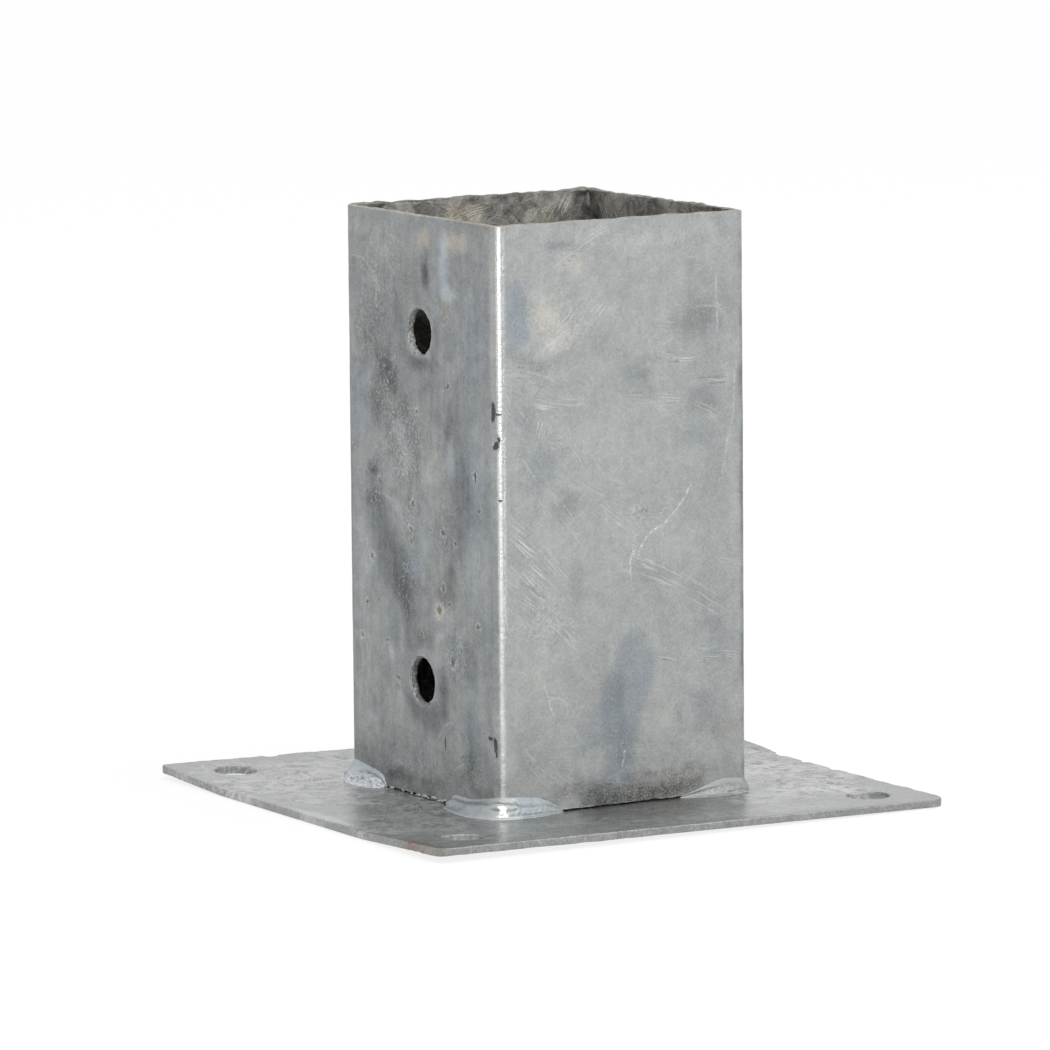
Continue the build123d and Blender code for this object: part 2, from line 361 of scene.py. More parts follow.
# %% Cloud tables: across, up, half width, half height, turn, tone, cool
CLOUDS = {
    "front": (
        (21, 96, 7.5, 4.6, 0, -0.1, 0.8), (4, 114, 6, 4.5, 15, -0.3, 0.7), (-3, 120, 9, 7, 0, -0.15, 0.4),
        (22, 125, 8, 5.5, 0, -0.35, 0.3), (22, 104, 9, 4, 0, -0.25, 0.1), (-31, 131, 5, 11, 0, -0.2, 1.3),
        (-18, 146.5, 7, 1.6, 0, -0.4, 0.9), (-14, 141, 5, 7, 0, 0.2, -1.0), (-22, 129, 6, 9, 20, 0.25, -1.4),
        (-19, 122, 9, 3, 25, 0.3, -0.5), (-8, 131, 5, 9, 35, 0.15, 0.1), (-28, 117, 8, 3, -15, -0.25, 0.1),
        (-30, 104, 6, 7, 0, -0.2, 0.4), (-25, 90, 8, 8, 0, -0.25, 0.6), (-17, 80, 5, 6, -40, -0.4, 0.2),
        (-14, 58, 3.5, 9, 0, -0.3, 0.2), (-4, 96, 12, 7, 0, 0.1, -0.2), (8, 90, 16, 6, 0, 0.1, -0.2),
        (13, 104, 7, 3, 0, 0.2, -0.2), (8, 112, 6, 2, 0, -0.15, 0.0), (8, 146, 14, 4, 0, 0.15, -0.5),
        (30, 143, 6, 4, 0, 0.15, -0.2), (-6, 150, 8, 2, 25, 0.2, -0.4), (4, 58, 8, 10, 0, -0.1, 0.2),
        (22, 66, 12, 6, -20, 0.1, -0.1), (20, 46, 12, 5, 0, -0.1, 0.4), (29, 40, 6, 6, 0, -0.1, 0.7),
        (-27, 37, 8, 9, 0, 0.1, -0.5), (-18, 31, 8, 5, -35, 0.05, -0.4), (12, 24, 7, 8, 0, 0.1, -0.4),
        (25, 25, 6, 8, 0, -0.15, 0.6), (31, 20, 4, 6, 0, -0.1, -0.7), (27, 11, 6, 4, 0, 0.1, -0.2),
        (-28, 18, 7, 8, 0, -0.1, 0.1), (-10, 13.5, 6, 4.5, 0, 0.35, -1.0), (36.6, 76, 1.6, 78, 0, -0.7, 0.1),
        (33, 84, 2.5, 30, 4, 0.2, 0.0), (29, 76, 10, 90, 0, -0.15, 0.1), (4, 26, 44, 30, 0, -0.1, 0.0),
    ),
    "left": (
        (-18, 140, 14, 10, 0, 0.15, -0.5), (-12, 136, 4, 4, 0, 0.1, 0.6), (11.5, 141, 3.8, 9, 0, 1.0, 1.2),
        (13, 133.5, 4.6, 2.6, 0, 1.0, 0.8), (3, 146.5, 5, 3.4, 0, 0.2, -2.4), (19, 147, 7, 3.2, 0, 0.3, -2.4),
        (-31, 148, 6, 4, 0, 0.1, -1.8), (4, 137, 2.8, 7, 8, -1.2, 0.1), (-2, 131, 3, 3, 0, -0.2, -0.7),
        (13, 129, 3, 5, 0, 0.05, -1.0), (0, 114.5, 8, 3.0, 0, -1.0, 0.1), (3, 110, 9, 4, 0, -0.3, 0.3),
        (-10, 124, 3, 9, 8, -0.5, 0.1), (8, 120, 3, 8, 0, -0.35, 0.2), (-17, 113, 6, 4, 0, -0.5, 0.3),
        (-12, 107, 6, 5, 0, -0.5, 0.1), (-23, 100, 5, 5, 0, -0.5, 0.1), (-25, 84.5, 4, 3.4, 0, -1.1, 0.2),
        (-25, 77, 3.4, 2.4, 0, -0.6, 0.2), (14, 99, 3, 4, -10, -0.6, 0.2), (14, 110, 2.4, 1.3, 0, -0.7, 0.1),
        (-31, 100, 4, 8, 0, 0.15, 2.2), (-33, 108, 2, 3, 0, 0.2, 0.8), (-11, 96, 3.8, 3, 0, 0.7, 0.5),
        (-7, 88, 3, 6, 0, 0.45, 0.1), (-15, 85, 5, 5, 0, 0.3, 0.5), (-13, 77, 5, 2.4, -20, 0.4, 0.1),
        (15.5, 91, 2.8, 5.5, -8, 0.5, 0.4), (6, 90, 6, 8, 0, 0.2, -0.9), (4, 79, 6, 8, 0, 0.2, -0.1),
        (11, 77, 6, 4, 0, 0.1, -0.7), (1, 66, 4, 9, 0, 0.25, 0.3), (-5, 61, 3.4, 3.4, 0, 0.3, 2.4),
        (13, 57, 5, 6, 0, -0.6, -0.5), (9, 51.5, 3, 2.4, 0, 0.5, -2.0), (3, 44, 5, 5, 0, -0.5, 0.0),
        (15, 42, 4, 8, 0, -0.3, 0.5), (8, 45, 4, 2, 0, 0.4, 0.2), (20, 47, 4, 2.4, 0, 0.3, 0.2),
        (28, 80, 6, 30, 0, 0.2, 0.6), (27, 122, 7, 18, 0, 0.1, 0.7), (30, 148, 5, 3, 0, -0.2, -0.5),
        (-29, 62, 5, 12, 0, 0.25, 0.1), (-27, 34, 7, 12, 0, 0.2, -0.4), (-14, 26, 6, 8, 0, 0.1, -1.0),
        (-15, 44, 4, 8, 0, -0.25, 0.9), (-16, 38, 2, 3, 0, 0.3, -1.2), (18, 16, 7, 5, 0, 0.25, -0.3),
        (-26, 16, 8, 6, 0, 0.15, -0.2), (28, 30, 4, 9, 0, 0.3, 0.3), (24, 13, 4, 6, 0, -0.5, 0.3),
        (-10, 6.5, 11, 2.4, 0, -0.9, 0.0), (8, 6.5, 8, 2.6, 0, -0.5, -0.4), (-36, 76, 1.8, 78, 0, -0.3, -0.6),
        (35.8, 60, 1.6, 40, 0, -0.3, 0.9),
    ),
    "right": (
        (-15, 110, 9, 16, 10, 0.2, -0.5), (12, 84, 7, 14, -15, -0.4, 0.6), (-22, 52, 8, 12, 0, -0.3, 0.3),
        (18, 134, 10, 7, 0, 0.2, 0.5), (4, 20, 14, 6, 0, -0.4, 0.1), (26, 40, 6, 18, 0, 0.2, -0.3),
        (0, 112, 9, 4, 0, -0.8, 0.0), (-4, 60, 10, 9, 20, 0.2, -0.4), (20, 66, 5, 16, 0, -0.2, 0.5),
        (-30, 90, 4, 30, 0, 0.2, 0.3),
    ),
    "back": (
        (-12, 120, 12, 14, 15, -0.3, 0.6), (14, 92, 9, 10, -20, 0.2, -0.6), (-20, 60, 9, 16, 0, 0.2, -0.4),
        (10, 44, 8, 14, 12, -0.4, 0.7), (22, 136, 8, 7, 0, -0.3, 0.3), (0, 8, 22, 4, 0, -0.6, -0.2),
        (-28, 94, 5, 16, 0, -0.2, 0.5), (2, 74, 9, 7, 0, 0.2, -0.3),
    ),
}
# Long clouds: tone, cool, width in mm of the soft edge, then links of across, up, half width
BANDS = {
    "front": (
        (-0.34, 0.85, 3.4, ((3.6, 43, 4.6), (3.5, 38, 6), (-0.5, 29, 7), (-5, 20, 8.6), (-6.5, 9, 9.2))),
        (-0.3, 0.2, 3.0, ((-2, 34, 2.6), (-4, 26, 3.6), (-0.5, 19, 3.4), (-1, 15, 2.4))),
        (-0.25, 0.1, 3.0, ((-33, 121, 2.0), (-24, 117.5, 2.4), (-13, 118, 1.6))),
        (-0.3, 0.0, 2.4, ((-2, 109, 1.0), (6, 107.8, 1.6), (16, 108.4, 1.0))),
    ),
    "left": (
        (-0.75, 0.5, 8.0, ((-26, 82, 3.0), (-22, 72, 5.0), (-16, 63, 6.0), (-10, 55, 5.0))),
        (-0.6, 0.4, 8.0, ((15, 104, 2.0), (19, 94, 4.4), (21, 82, 5.0), (18, 70, 4.0))),
        (-0.9, 0.4, 4.4, ((-8, 28, 1.0), (-4, 24.4, 2.4), (4, 23.4, 3.6), (10, 26.5, 3.0), (10.5, 34, 2.2))),
        (-0.45, 0.2, 7.0, ((-10, 62, 4.0), (-6, 50, 4.0), (-4, 42, 3.0))),
        (-0.4, 0.6, 6.0, ((22, 44, 1.6), (25, 32, 2.4), (25, 18, 3.6))),
        (-0.5, 0.1, 7.0, ((-19, 120, 5.0), (-18, 108, 6.0), (-14, 99, 5.0))),
    ),
}
# The left wall's darker tone is partly its own bluer, streaky zinc and partly painted shade for the side turned away
# from the light.
WALL_TONES_WITH_SHADE = {"right": -0.2, "front": 0.0, "left": -0.68, "back": -0.2}
WALL_COOLNESS = {"right": 0.2, "front": 0.1, "left": 0.55, "back": 0.1}
CLOUD_STRENGTH = {"right": 1.4, "front": 1.7, "left": 1.5, "back": 1.4}
CLOUD_SOLID = 0.1
# Inner clouds. The dark upright bands beside the inner seam corner, on the back and right walls, are painted shade in
# that corner; the others are patches of the zinc.
INNER_CLOUDS_AND_CORNER_SHADE = {
    "back": (
        (24, 148, 7, 4, 10, 0.3, -1.0), (30, 142, 5, 6, 0, -0.6, 0.2), (12, 146, 4, 8, 20, -0.7, 0.0),
        (3, 147, 7, 5, -15, 0.6, -1.4), (-6, 141, 8, 5, 0, -0.5, -0.4), (-14, 149, 5, 3, 0, -0.3, 0.3),
        (-22, 145, 7, 6, -30, 0.5, -1.0), (-30, 149, 4, 3, 0, 0.8, 0.2), (-35, 145, 2, 9, 0, -1.4, 0.0),
    ),
    "right": (
        (32, 145, 6, 10, 0, -1.8, 0.0), (27, 148, 4, 4, 0, 0.3, 0.2), (12, 149, 6, 3, 0, -0.5, 0.2),
        (-6, 150, 8, 2, 0, 0.2, -0.3), (-24, 151, 9, 1.5, 0, -0.7, 0.0), (0, 147, 50, 12, 0, -0.5, 0.0),
    ),
}


def paint(layers, here, table, across, up, rough, strength=1.0, solid=CLOUD_SOLID):
    """Adds the clouds of a table to the tone and cool layers at the points here."""
    for centre_across, centre_up, half_width, half_height, turn, pale, blue in table:
        share = oval(across, up, (centre_across, centre_up), (half_width, half_height), turn, rough, solid)
        layers[0][here] += strength * pale * share
        layers[1][here] += blue * share


tone = np.zeros(len(socket_points))
cool = np.zeros(len(socket_points))
for tables, inside in ((CLOUDS, False), (INNER_CLOUDS_AND_CORNER_SHADE, True)):
    for wall, table in tables.items():
        here = on_wall(wall, inside)
        if not inside:
            tone[here] += WALL_TONES_WITH_SHADE[wall]
            cool[here] += WALL_COOLNESS[wall]
        strength = 1.0 if inside else CLOUD_STRENGTH[wall]
        paint((tone, cool), here, table, map_across[here], map_up[here], ragged[here], strength)
for wall, table in BANDS.items():
    here = on_wall(wall)
    where = np.stack([map_across[here], map_up[here]], 1)
    for pale, blue, edge, chain in table:
        share = ramp(band(where, chain) - 0.6 * edge * ragged[here], -edge / 2, edge / 2)
        tone[here] += pale * share
        cool[here] += blue * share
print("tone from", round(tone.min(), 2), "to", round(tone.max(), 2))

# %% [markdown]
# ## Granular belts and soot
# In a few belts the zinc is gritty instead of smooth, with dark and white grains. Over the long gap of the
# front wall the steel is sooty brown. Both are kept as separate amounts, so the finish can treat them apart.

# %% Grit, soot and rust on the socket: across, up, half width, half height, amount
GRIT = {
    "left": ((-17, 108, 9, 11, 1.0), (-10, 92, 10, 13, 1.0), (-23, 84, 6, 8, 0.8), (-5, 74, 5, 8, 0.8),
             (13, 74, 6, 8, 0.7), (-25, 124, 9, 18, 0.7), (-8, 58, 6, 8, 0.6), (17, 42, 6, 8, 0.7),
             (-14, 140, 16, 10, 0.4), (8, 130, 8, 6, 0.5), (0, 8, 30, 5, 0.5), (26, 12, 5, 5, 0.7)),
    "front": ((-18, 128, 10, 8, 0.4), (-22, 50, 12, 6, 0.5), (5, 77, 2.4, 1.8, 1.0), (-28, 112, 8, 6, 0.3),
              (10, 146, 20, 5, 0.25)),
    "right": ((8, 104, 10, 12, 0.8), (-16, 74, 9, 10, 0.7)),
    "back": ((-6, 84, 12, 10, 0.7), (18, 64, 8, 9, 0.6)),
}
SOOT = {
    "front": ((3, 5.0, 22, 3.6, 0.9), (9, 8.0, 15, 3.0, 0.55), (-14, 7.0, 9, 3.0, 0.5), (21, 9.2, 6, 2.2, 0.5),
              (5, 4.3, 18, 2.7, 1.2)),
    "left": ((-2, 3.2, 18, 2.2, 0.4), (-12, 5.5, 8, 2.6, 0.25), (31, 6.5, 5, 3.0, 0.3)),
    "right": ((0, 3.6, 20, 2.8, 0.7),),
    "back": ((0, 3.8, 20, 3.0, 0.8),),
}
RUST = {
    "left": ((35.5, 151.6, 3.2, 1.3, 0.6), (-23.5, 150.8, 1.3, 1.0, 0.45), (-35, 151.8, 5, 0.8, 0.5)),
    "front": ((-35.5, 152, 3.5, 0.9, 0.45),),
    "right": ((-20, 151.8, 6, 0.8, 0.4),),
    "back": ((12, 151.8, 7, 0.8, 0.5),),
}


def strongest(table, across, up, rough):
    """The strongest amount of one kind of mark at each point."""
    found = np.zeros(len(across))
    for centre_across, centre_up, half_width, half_height, amount in table:
        share = oval(across, up, (centre_across, centre_up), (half_width, half_height), 0, rough)
        found = np.maximum(found, amount * share)
    return found


def amounts(tables):
    """One kind of mark over all the walls."""
    total = np.zeros(len(socket_points))
    for wall, table in tables.items():
        here = on_wall(wall)
        total[here] = strongest(table, map_across[here], map_up[here], ragged[here])
    return total


grit, soot, rust = amounts(GRIT), amounts(SOOT), amounts(RUST)
print("points with grit:", int((grit > 0.3).sum()), "soot:", int((soot > 0.3).sum()), "rust:", int((rust > 0.3).sum()))

# %% [markdown]
# ## Brushed strokes and single scratches
# Before dipping, the sheet was dragged about, and the scratches show through the zinc as sheaves of fine pale
# strokes. Each sheaf only needs its middle, length, width and direction. Every point learns its place along
# and across its sheaf, in mm, and the finish later draws the strokes with noise stretched along the sheaf.
# A single long scratch is a chain of points. Each point of the wall learns its distance from that chain, with
# a sign for the side, and the finish draws a thin line where that distance is zero.

# %% Sheaves: across, up, length, width, turn in degrees, bow, amount
INNER_SHEAVES = {
    "back": (
        (-27, 145, 16, 14, -62, 0.1, 1.0), (-14, 146, 16, 10, -48, 0.1, 0.7), (4, 145, 26, 10, -20, 0.2, 0.6),
        (22, 147, 22, 8, 14, -0.2, 0.6), (0, 120, 40, 24, -35, 0.2, 0.6), (0, 60, 50, 60, -70, 0.0, 0.5),
    ),
    "right": (
        (27, 146, 14, 6, 60, 0.1, 0.8), (20, 145, 14, 8, 50, 0.2, 0.7), (4, 146, 10, 3, 88, 0.0, 0.6),
        (-14, 147, 26, 6, 10, 0.0, 0.4), (0, 90, 50, 60, 75, 0.0, 0.5),
    ),
    "front": ((0, 90, 50, 60, 60, 0.1, 0.6),),
    "left": ((0, 90, 50, 60, -60, 0.1, 0.6),),
}
SHEAVES = {
    "front": (
        (-27, 67, 26, 15, -43, 0.1, 1.0), (-21, 52, 36, 7, -39, 0.1, 1.0), (-18, 77, 22, 9, -52, 0.1, 0.6),
        (-4, 76, 14, 7, -36, 0.0, 0.6), (15, 58.5, 38, 9, -26, 0.15, 0.75), (28, 38.5, 16, 5, -8, 0.0, 0.8),
        (13, 39, 8, 3, -15, 0.0, 0.6), (16, 116, 15, 3.4, -9, -0.25, 1.0), (25, 109.6, 17, 2.4, -3, 0.0, 0.7),
        (-19, 105.5, 18, 6, -9, -0.2, 0.8), (-27, 114.5, 18, 4, -14, 0.2, 0.7), (-33, 106, 12, 6, -52, 0.1, 0.7),
        (10, 106, 20, 4, -5, 0.0, 0.6), (-17, 125, 18, 6, 42, -0.1, 0.7), (-8, 129, 9, 6, 46, 0.0, 0.6),
        (-12, 146, 22, 3.5, 30, 0.1, 0.7), (24, 102, 14, 5, -30, 0.0, 0.6), (-24, 100, 6, 6, 72, 0.0, 0.5),
        (-21, 97, 6, 3, -20, 0.0, 0.6), (-14, 94, 9, 4, -58, 0.0, 0.5), (12, 125, 12, 4, -6, 0.0, 0.5),
        (-25, 14, 20, 8, -48, 0.0, 0.35), (33, 62, 12, 7, -14, 0.0, 0.4), (-10, 84, 14, 4, -28, 0.0, 0.4),
    ),
    "left": (
        (-14, 77, 16, 4, -22, 0.1, 0.4), (-26, 138, 12, 5, -35, 0.2, 0.4), (28, 60, 30, 12, 84, 0.0, 0.25),
        (-30, 30, 40, 8, 88, 0.0, 0.25),
    ),
    "right": ((0, 90, 30, 12, -50, 0.1, 0.7), (-20, 40, 26, 8, 20, 0.0, 0.5), (22, 120, 20, 8, -15, 0.0, 0.5)),
    "back": ((4, 110, 34, 12, -35, 0.1, 0.8), (-16, 80, 26, 8, 40, 0.0, 0.5), (20, 40, 22, 8, -60, 0.0, 0.5)),
}
SHEAF_SPACING = 7.0


def lay_sheaf(across, up, sheaf, number):
    """Amount of one sheaf at some points, and their places across and along it."""
    centre_across, centre_up, length, width, turn, bow, amount = sheaf
    c, s = np.cos(np.radians(turn)), np.sin(np.radians(turn))
    da, du = across - centre_across, up - centre_up
    along = c * da + s * du
    side = c * du - s * da + bow * along * along / length
    share = (1 - ramp(np.abs(along) / length * 2, 0.45, 1.0)) * (1 - ramp(np.abs(side) / width * 2, 0.4, 1.0))
    return amount * share, np.stack([side, along, np.full(len(side), SHEAF_SPACING * number)], 1)


def lay_sheaves(layers, here, table, across, up):
    """Keeps the strongest sheaf at each of the points here. layers are the strokes' amount and place."""
    for number, sheaf in enumerate(table):
        share, places = lay_sheaf(across, up, sheaf, number)
        stronger = share > layers[0][here]
        layers[0][here[stronger]] = share[stronger]
        layers[1][here[stronger]] = places[stronger]


stroke_amount = np.zeros(len(socket_points))
stroke_place = np.zeros((len(socket_points), 3))
for tables, inside in ((SHEAVES, False), (INNER_SHEAVES, True)):
    for wall, table in tables.items():
        here = np.flatnonzero(on_wall(wall, inside))
        lay_sheaves((stroke_amount, stroke_place), here, table, map_across[here], map_up[here])
print("points inside a sheaf:", int((stroke_amount > 0.1).sum()))

# %% Single scratches and highlight lines: wall, strength, then the points of the chain as across, up
SCRATCHES_AND_HIGHLIGHT_LINES = (
    ("front", 1.0, ((20, 82), (18, 79), (15, 75.6), (12, 73), (8.4, 71.6), (6.6, 70), (5, 67))),
    ("front", 0.9, ((2.9, 67.2), (2.3, 64.5), (2.2, 61.2))),
    ("front", 0.5, ((28.6, 137), (28.9, 122))),
    ("front", 0.4, ((23.5, 128.6), (30.5, 128.2))),
    ("front", 0.4, ((34.2, 112), (33.6, 101), (31.6, 93), (30, 85))),
    ("front", 0.6, ((-23.4, 34), (-22.4, 30), (-20.8, 26.5))),
    ("front", 0.5, ((-29.5, 93), (-27.5, 90), (-25.8, 87.5))),
    ("front", 0.9, ((0.0, 15.8), (-0.5, 12.8))),
    # These two lines beside the front bend are a thin ridge of zinc with a painted highlight along it.
    ("front", 0.7, ((-34.9, 101), (-34.9, 52))),
    ("front", 0.5, ((-34.8, 150), (-34.8, 112))),
    ("front", 0.4, ((-16.5, 29), (-20, 31.5), (-22, 31))),
    ("left", 0.5, ((8, 19), (11, 22.4), (16, 23.9), (21, 21.4), (23.4, 17.6), (20.6, 13.6), (15.5, 11.4))),
    ("left", 0.5, ((-34, 139.6), (-28, 139.4), (-23.8, 136.8), (-20.8, 133))),
    ("left", 0.35, ((-17, 9.4), (-13, 9.8), (-8, 8.8))),
    ("right", 0.7, ((-20, 96), (-8, 88), (4, 84))),
    ("back", 0.7, ((22, 116), (10, 104), (0, 99), (-10, 98))),
)
LINE_REACH = 2.6
line_amount = np.zeros(len(socket_points))
line_place = np.full(len(socket_points), LINE_REACH)


def signed_distance(points, chain):
    """Distance from a chain of points, with a sign for the side that a point lies on."""
    best = np.full(len(points), FAR)
    signed = np.zeros(len(points))
    for start, end in zip(chain[:-1], chain[1:]):
        start, run = np.array(start, float), np.subtract(end, start).astype(float)
        share = np.clip(((points - start) @ run) / (run @ run), 0, 1)
        away = points - start - share[:, None] * run
        distance = np.linalg.norm(away, axis=1)
        side = np.where(run[0] * away[:, 1] - run[1] * away[:, 0] < 0, -1.0, 1.0)
        closer = distance < best
        best[closer], signed[closer] = distance[closer], (side * distance)[closer]
    return signed


for wall, strength, chain in SCRATCHES_AND_HIGHLIGHT_LINES:
    here = np.flatnonzero(on_wall(wall))
    where = np.stack([map_across[here], map_up[here]], 1)
    distance = signed_distance(where, chain)
    near = np.abs(distance) < LINE_REACH
    inside_ends = near & (np.abs(distance) < np.abs(line_place[here]))
    line_place[here[inside_ends]] = distance[inside_ends]
    line_amount[here[inside_ends]] = strength
print("points near a single scratch:", int((line_amount > 0).sum()))

# %% [markdown]
# ## Relief of the socket
# Seen close, the zinc skin waves by a few hundredths of a millimetre, and by more along the rim, where it ran
# off and froze in beads. Grit and soot stand up as small grains. A few nicks are pressed into the sheet near the
# front bend. All of it moves real points outwards or inwards, so it also shows in silhouette.

# %% Raise the zinc skin. Nicks: wall, across, up, half width, half height, depth
NICKS = (
    ("left", 35.6, 105.6, 0.9, 3.0, 0.6),
    ("left", 36.4, 97.6, 1.2, 1.7, 0.7),
    ("left", 35.4, 20.2, 0.9, 1.9, 0.45),
    ("front", 37.2, 82.0, 0.8, 1.5, 0.3),
    ("front", 36.6, 101.0, 0.8, 2.0, 0.25),
    ("left", 37.2, 83.0, 0.6, 0.8, 0.2),
)
rim_closeness = ramp(map_up, RIM - 1.4, RIM - 0.2)
foot_closeness = 1 - ramp(map_up, FOOT + 0.2, FOOT + 1.2)
far_walls = np.isin(wall_number, (0, 3))
relief = 0.05 * lumps(socket_points, 21.0, 1) + 0.035 * lumps(socket_points, 6.5, 2)
relief += 0.028 * lumps(socket_points, 2.6, 5)
relief += np.where(wall_number == 2, 0.025, 0.012) * lumps(socket_points, (2.6, 2.6, 22.0), 6)
relief += np.where(outer_skin, 0.0, 0.14) * lumps(socket_points, (2.6, 2.6, 3.4), 7)
relief += (0.1 * grit + 0.09 * soot) * lumps(socket_points, 1.5, 8)
relief += rim_closeness * np.where(far_walls, 0.24, 0.11) * (0.3 + lumps(socket_points, 2.1, 9))
relief += rim_closeness * np.where(far_walls, 0.2, 0.04) * lumps(socket_points, 5.0, 10)
to_seam = np.hypot(*(socket_points[:, :2] - HALF_SOCKET + 1.5).T)
relief += rim_closeness * 0.45 * (1 - ramp(to_seam, 0.5, 6.0))
relief += foot_closeness * 0.12 * lumps(socket_points, 1.7, 11)
relief += np.where(socket_cut & (map_up < RIM - SHEET), 0.16, 0.05) * socket_cut * lumps(socket_points, 1.0, 12)
for wall, across, up, half_width, half_height, depth in NICKS:
    here = on_wall(wall)
    relief[here] -= depth * oval(map_across[here], map_up[here], (across, up), (half_width, half_height))
raise_surface(socket, socket_points, relief)

# %% [markdown]
# ## Keep the marks with the mesh
# The amounts are stored on the mesh itself, one number for each point, under plain names. The finish reads
# them by name, and they stay in place however the piece is lit or turned.

# %% Store the marks on the socket


def store(piece, **layers):
    """Keep one number, or three, for each point of the mesh. A plain number goes to every point."""
    for name, values in layers.items():
        if np.ndim(values) == 0:
            values = np.full(len(piece.data.vertices), float(values))
        kind, field = ("FLOAT", "value") if values.ndim == 1 else ("FLOAT_VECTOR", "vector")
        layer = piece.data.attributes.new(name, kind, "POINT")
        layer.data.foreach_set(field, values.astype(np.float32).ravel())


inner_share = np.where(outer_skin, 0.0, 1.0)
# Painted shade: the inner skin is darkened below the rim, from nothing at 12 mm down to full at 34 mm and below,
# standing in for the shade deep inside the socket.
painted_inner_shade = inner_share * (1 - ramp(map_up, RIM - 34.0, RIM - 12.0)) * (1 - socket_cut)
tone = tone - 2.5 * painted_inner_shade
# The front bend is rubbed smooth, so its zinc is less rough there. The same amount also pales the bend's colour as a
# painted highlight, weaker towards the foot.
from_bend = np.hypot(*(socket_points[:, :2] + HALF_SOCKET - 0.7).T)
shine = (1 - ramp(from_bend, 1.2, 2.4)) * (0.8 + 0.2 * lumps(socket_points, (3.0, 3.0, 9.0), 13))
shine = shine * (0.35 + 0.35 * ramp(map_up, 25.0, 60.0) + 0.3 * ramp(map_up, 85.0, 110.0))
# Painted highlight: a pale ring on the rounded zinc lip round each bolt hole of the two side walls.
for hole_height in BOLT_HOLE_HEIGHTS:
    from_hole = np.hypot(map_across, map_up - FOOT - hole_height)
    painted_lip_highlight = ramp(from_hole, BOLT_HOLE_RADIUS + 1.0, BOLT_HOLE_RADIUS + 0.3) * outer_skin * np.isin(wall_number, (0, 2))
    tone = tone + 1.3 * painted_lip_highlight * (0.6 + 0.6 * lumps(socket_points, 1.6, 16))
on_rim = socket_cut & (map_up > RIM - SHEET)
tone = np.where(socket_cut, np.where(on_rim, np.where(far_walls, -1.1, -0.3), -0.1), tone)
cool = np.where(on_rim, np.where(far_walls, 0.2, -1.0), cool)
grit = np.where(socket_cut, np.where(on_rim, 0.6, 1.5), grit)
stroke_amount = stroke_amount * (1 - painted_inner_shade)
uneven = np.choose(wall_number, [1.0, 0.65, 1.5, 1.0])
wall_place = np.stack([map_across, map_up, 60.0 * wall_number + 30.0 * inner_share], 1)
store(socket, tone=tone, cool=cool, grit=grit, soot=soot, rust=rust, inside=inner_share, shine=shine)
store(socket, uneven=uneven, wall_place=wall_place, stroke_amount=stroke_amount, stroke_place=stroke_place)
store(socket, line_amount=line_amount, line_place=line_place)
print("shine at most:", round(shine.max(), 2), "and points with some:", int((shine > 0.1).sum()))

# %% [markdown]
# ## The plate
# The plate was sheared from 2 mm sheet and has sprung: three of its corners turn up a little, along straight
# lines that miss the socket. Each turned-up corner is an arc of 60 mm radius that leads into a flat flap. The
# height of the plate at any point is therefore plain arithmetic, and the same grid as before carries it.

# %% Height of the sprung plate
BEND_RADIUS = 60.0
PLATE_CORNER = 3.0
WORN_CORNER = 5.0
# Signs of the corner, direction of the bend line, its distance from the socket's corner, angle of the flap
FLAPS = (((-1, 1), 23.7, 18.0, 2.5), ((-1, -1), -14.9, 7.2, 2.4), ((1, 1), -52.9, 9.6, 7.1))


def flap_rise(plate_xy, flap, radius):
    """How far one flap lifts the points of the plate, for a bend of the given radius."""
    signs, direction, distance, angle = flap
    outward = np.array([-np.sin(np.radians(direction)), np.cos(np.radians(direction))])
    outward = outward * np.sign(outward @ np.array(signs, float))
    past = (plate_xy - np.array(signs, float) * HALF_SOCKET) @ outward - distance
    turn = np.radians(angle)
    past = past + BEND_RADIUS * np.tan(turn / 2)
    in_bend = np.clip(past, 0, radius * np.sin(turn))
    rise = radius - np.sqrt(radius**2 - in_bend**2)
    return rise + np.clip(past - radius * np.sin(turn), 0, None) * np.tan(turn)


def place_plate(flat, depth):
    """Space in mm for points of the flat plate: worn corners, sprung corners, then the plate's slight turn."""
    corner = np.where((flat[:, 0] > 0) & (flat[:, 1] < 0), WORN_CORNER, PLATE_CORNER)
    inner = HALF_PLATE - corner
    over = np.clip(np.abs(flat) - inner[:, None], 0, None) / corner[:, None]
    rounded = np.stack(
        [over[:, 0] * np.sqrt(1 - over[:, 1] ** 2 / 2), over[:, 1] * np.sqrt(1 - over[:, 0] ** 2 / 2)], 1
    )
    both = (over > 0).all(1)
    shaped = np.where(
        both[:, None], np.sign(flat) * (inner[:, None] + rounded * corner[:, None]), flat
    )
    low, high = np.zeros(len(flat)), np.full(len(flat), SHEET)
    for flap in FLAPS:
        low += flap_rise(shaped, flap, BEND_RADIUS + SHEET)
        high += flap_rise(shaped, flap, BEND_RADIUS)
    share = (depth + SHEET / 2) / SHEET
    c, s = np.cos(PLATE_TURN), np.sin(PLATE_TURN)
    x, y = c * shaped[:, 0] - s * shaped[:, 1], s * shaped[:, 0] + c * shaped[:, 1]
    return np.column_stack([x, y, low * (1 - share) + high * share])


PLATE_STEPS = 176
FINE_LINE = 0.42
lines = np.linspace(-HALF_PLATE, HALF_PLATE, PLATE_STEPS + 1)
lines = np.sort(np.append(lines, (-HALF_PLATE + FINE_LINE, HALF_PLATE - FINE_LINE)))
signs = ((-1, -1), (1, -1), (1, 1), (-1, 1))
anchor_holes = [(a * ANCHOR_HOLE_REACH, b * ANCHOR_HOLE_REACH, ANCHOR_HOLE_RADIUS) for a, b in signs]
flat, quads, loops = grid_with_holes(lines, lines, anchor_holes)
plate_points, plate_faces, plate_cut = closed_sheet(flat, quads, loops, place_plate, SHEET / 2)
plate = make_piece("plate_skin", plate_points, plate_faces)
plate_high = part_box("base_plate")[1]
print("highest point:", round(plate_points[:, 2].max(), 2), "CAD:", round(plate_high.z / MM, 2))
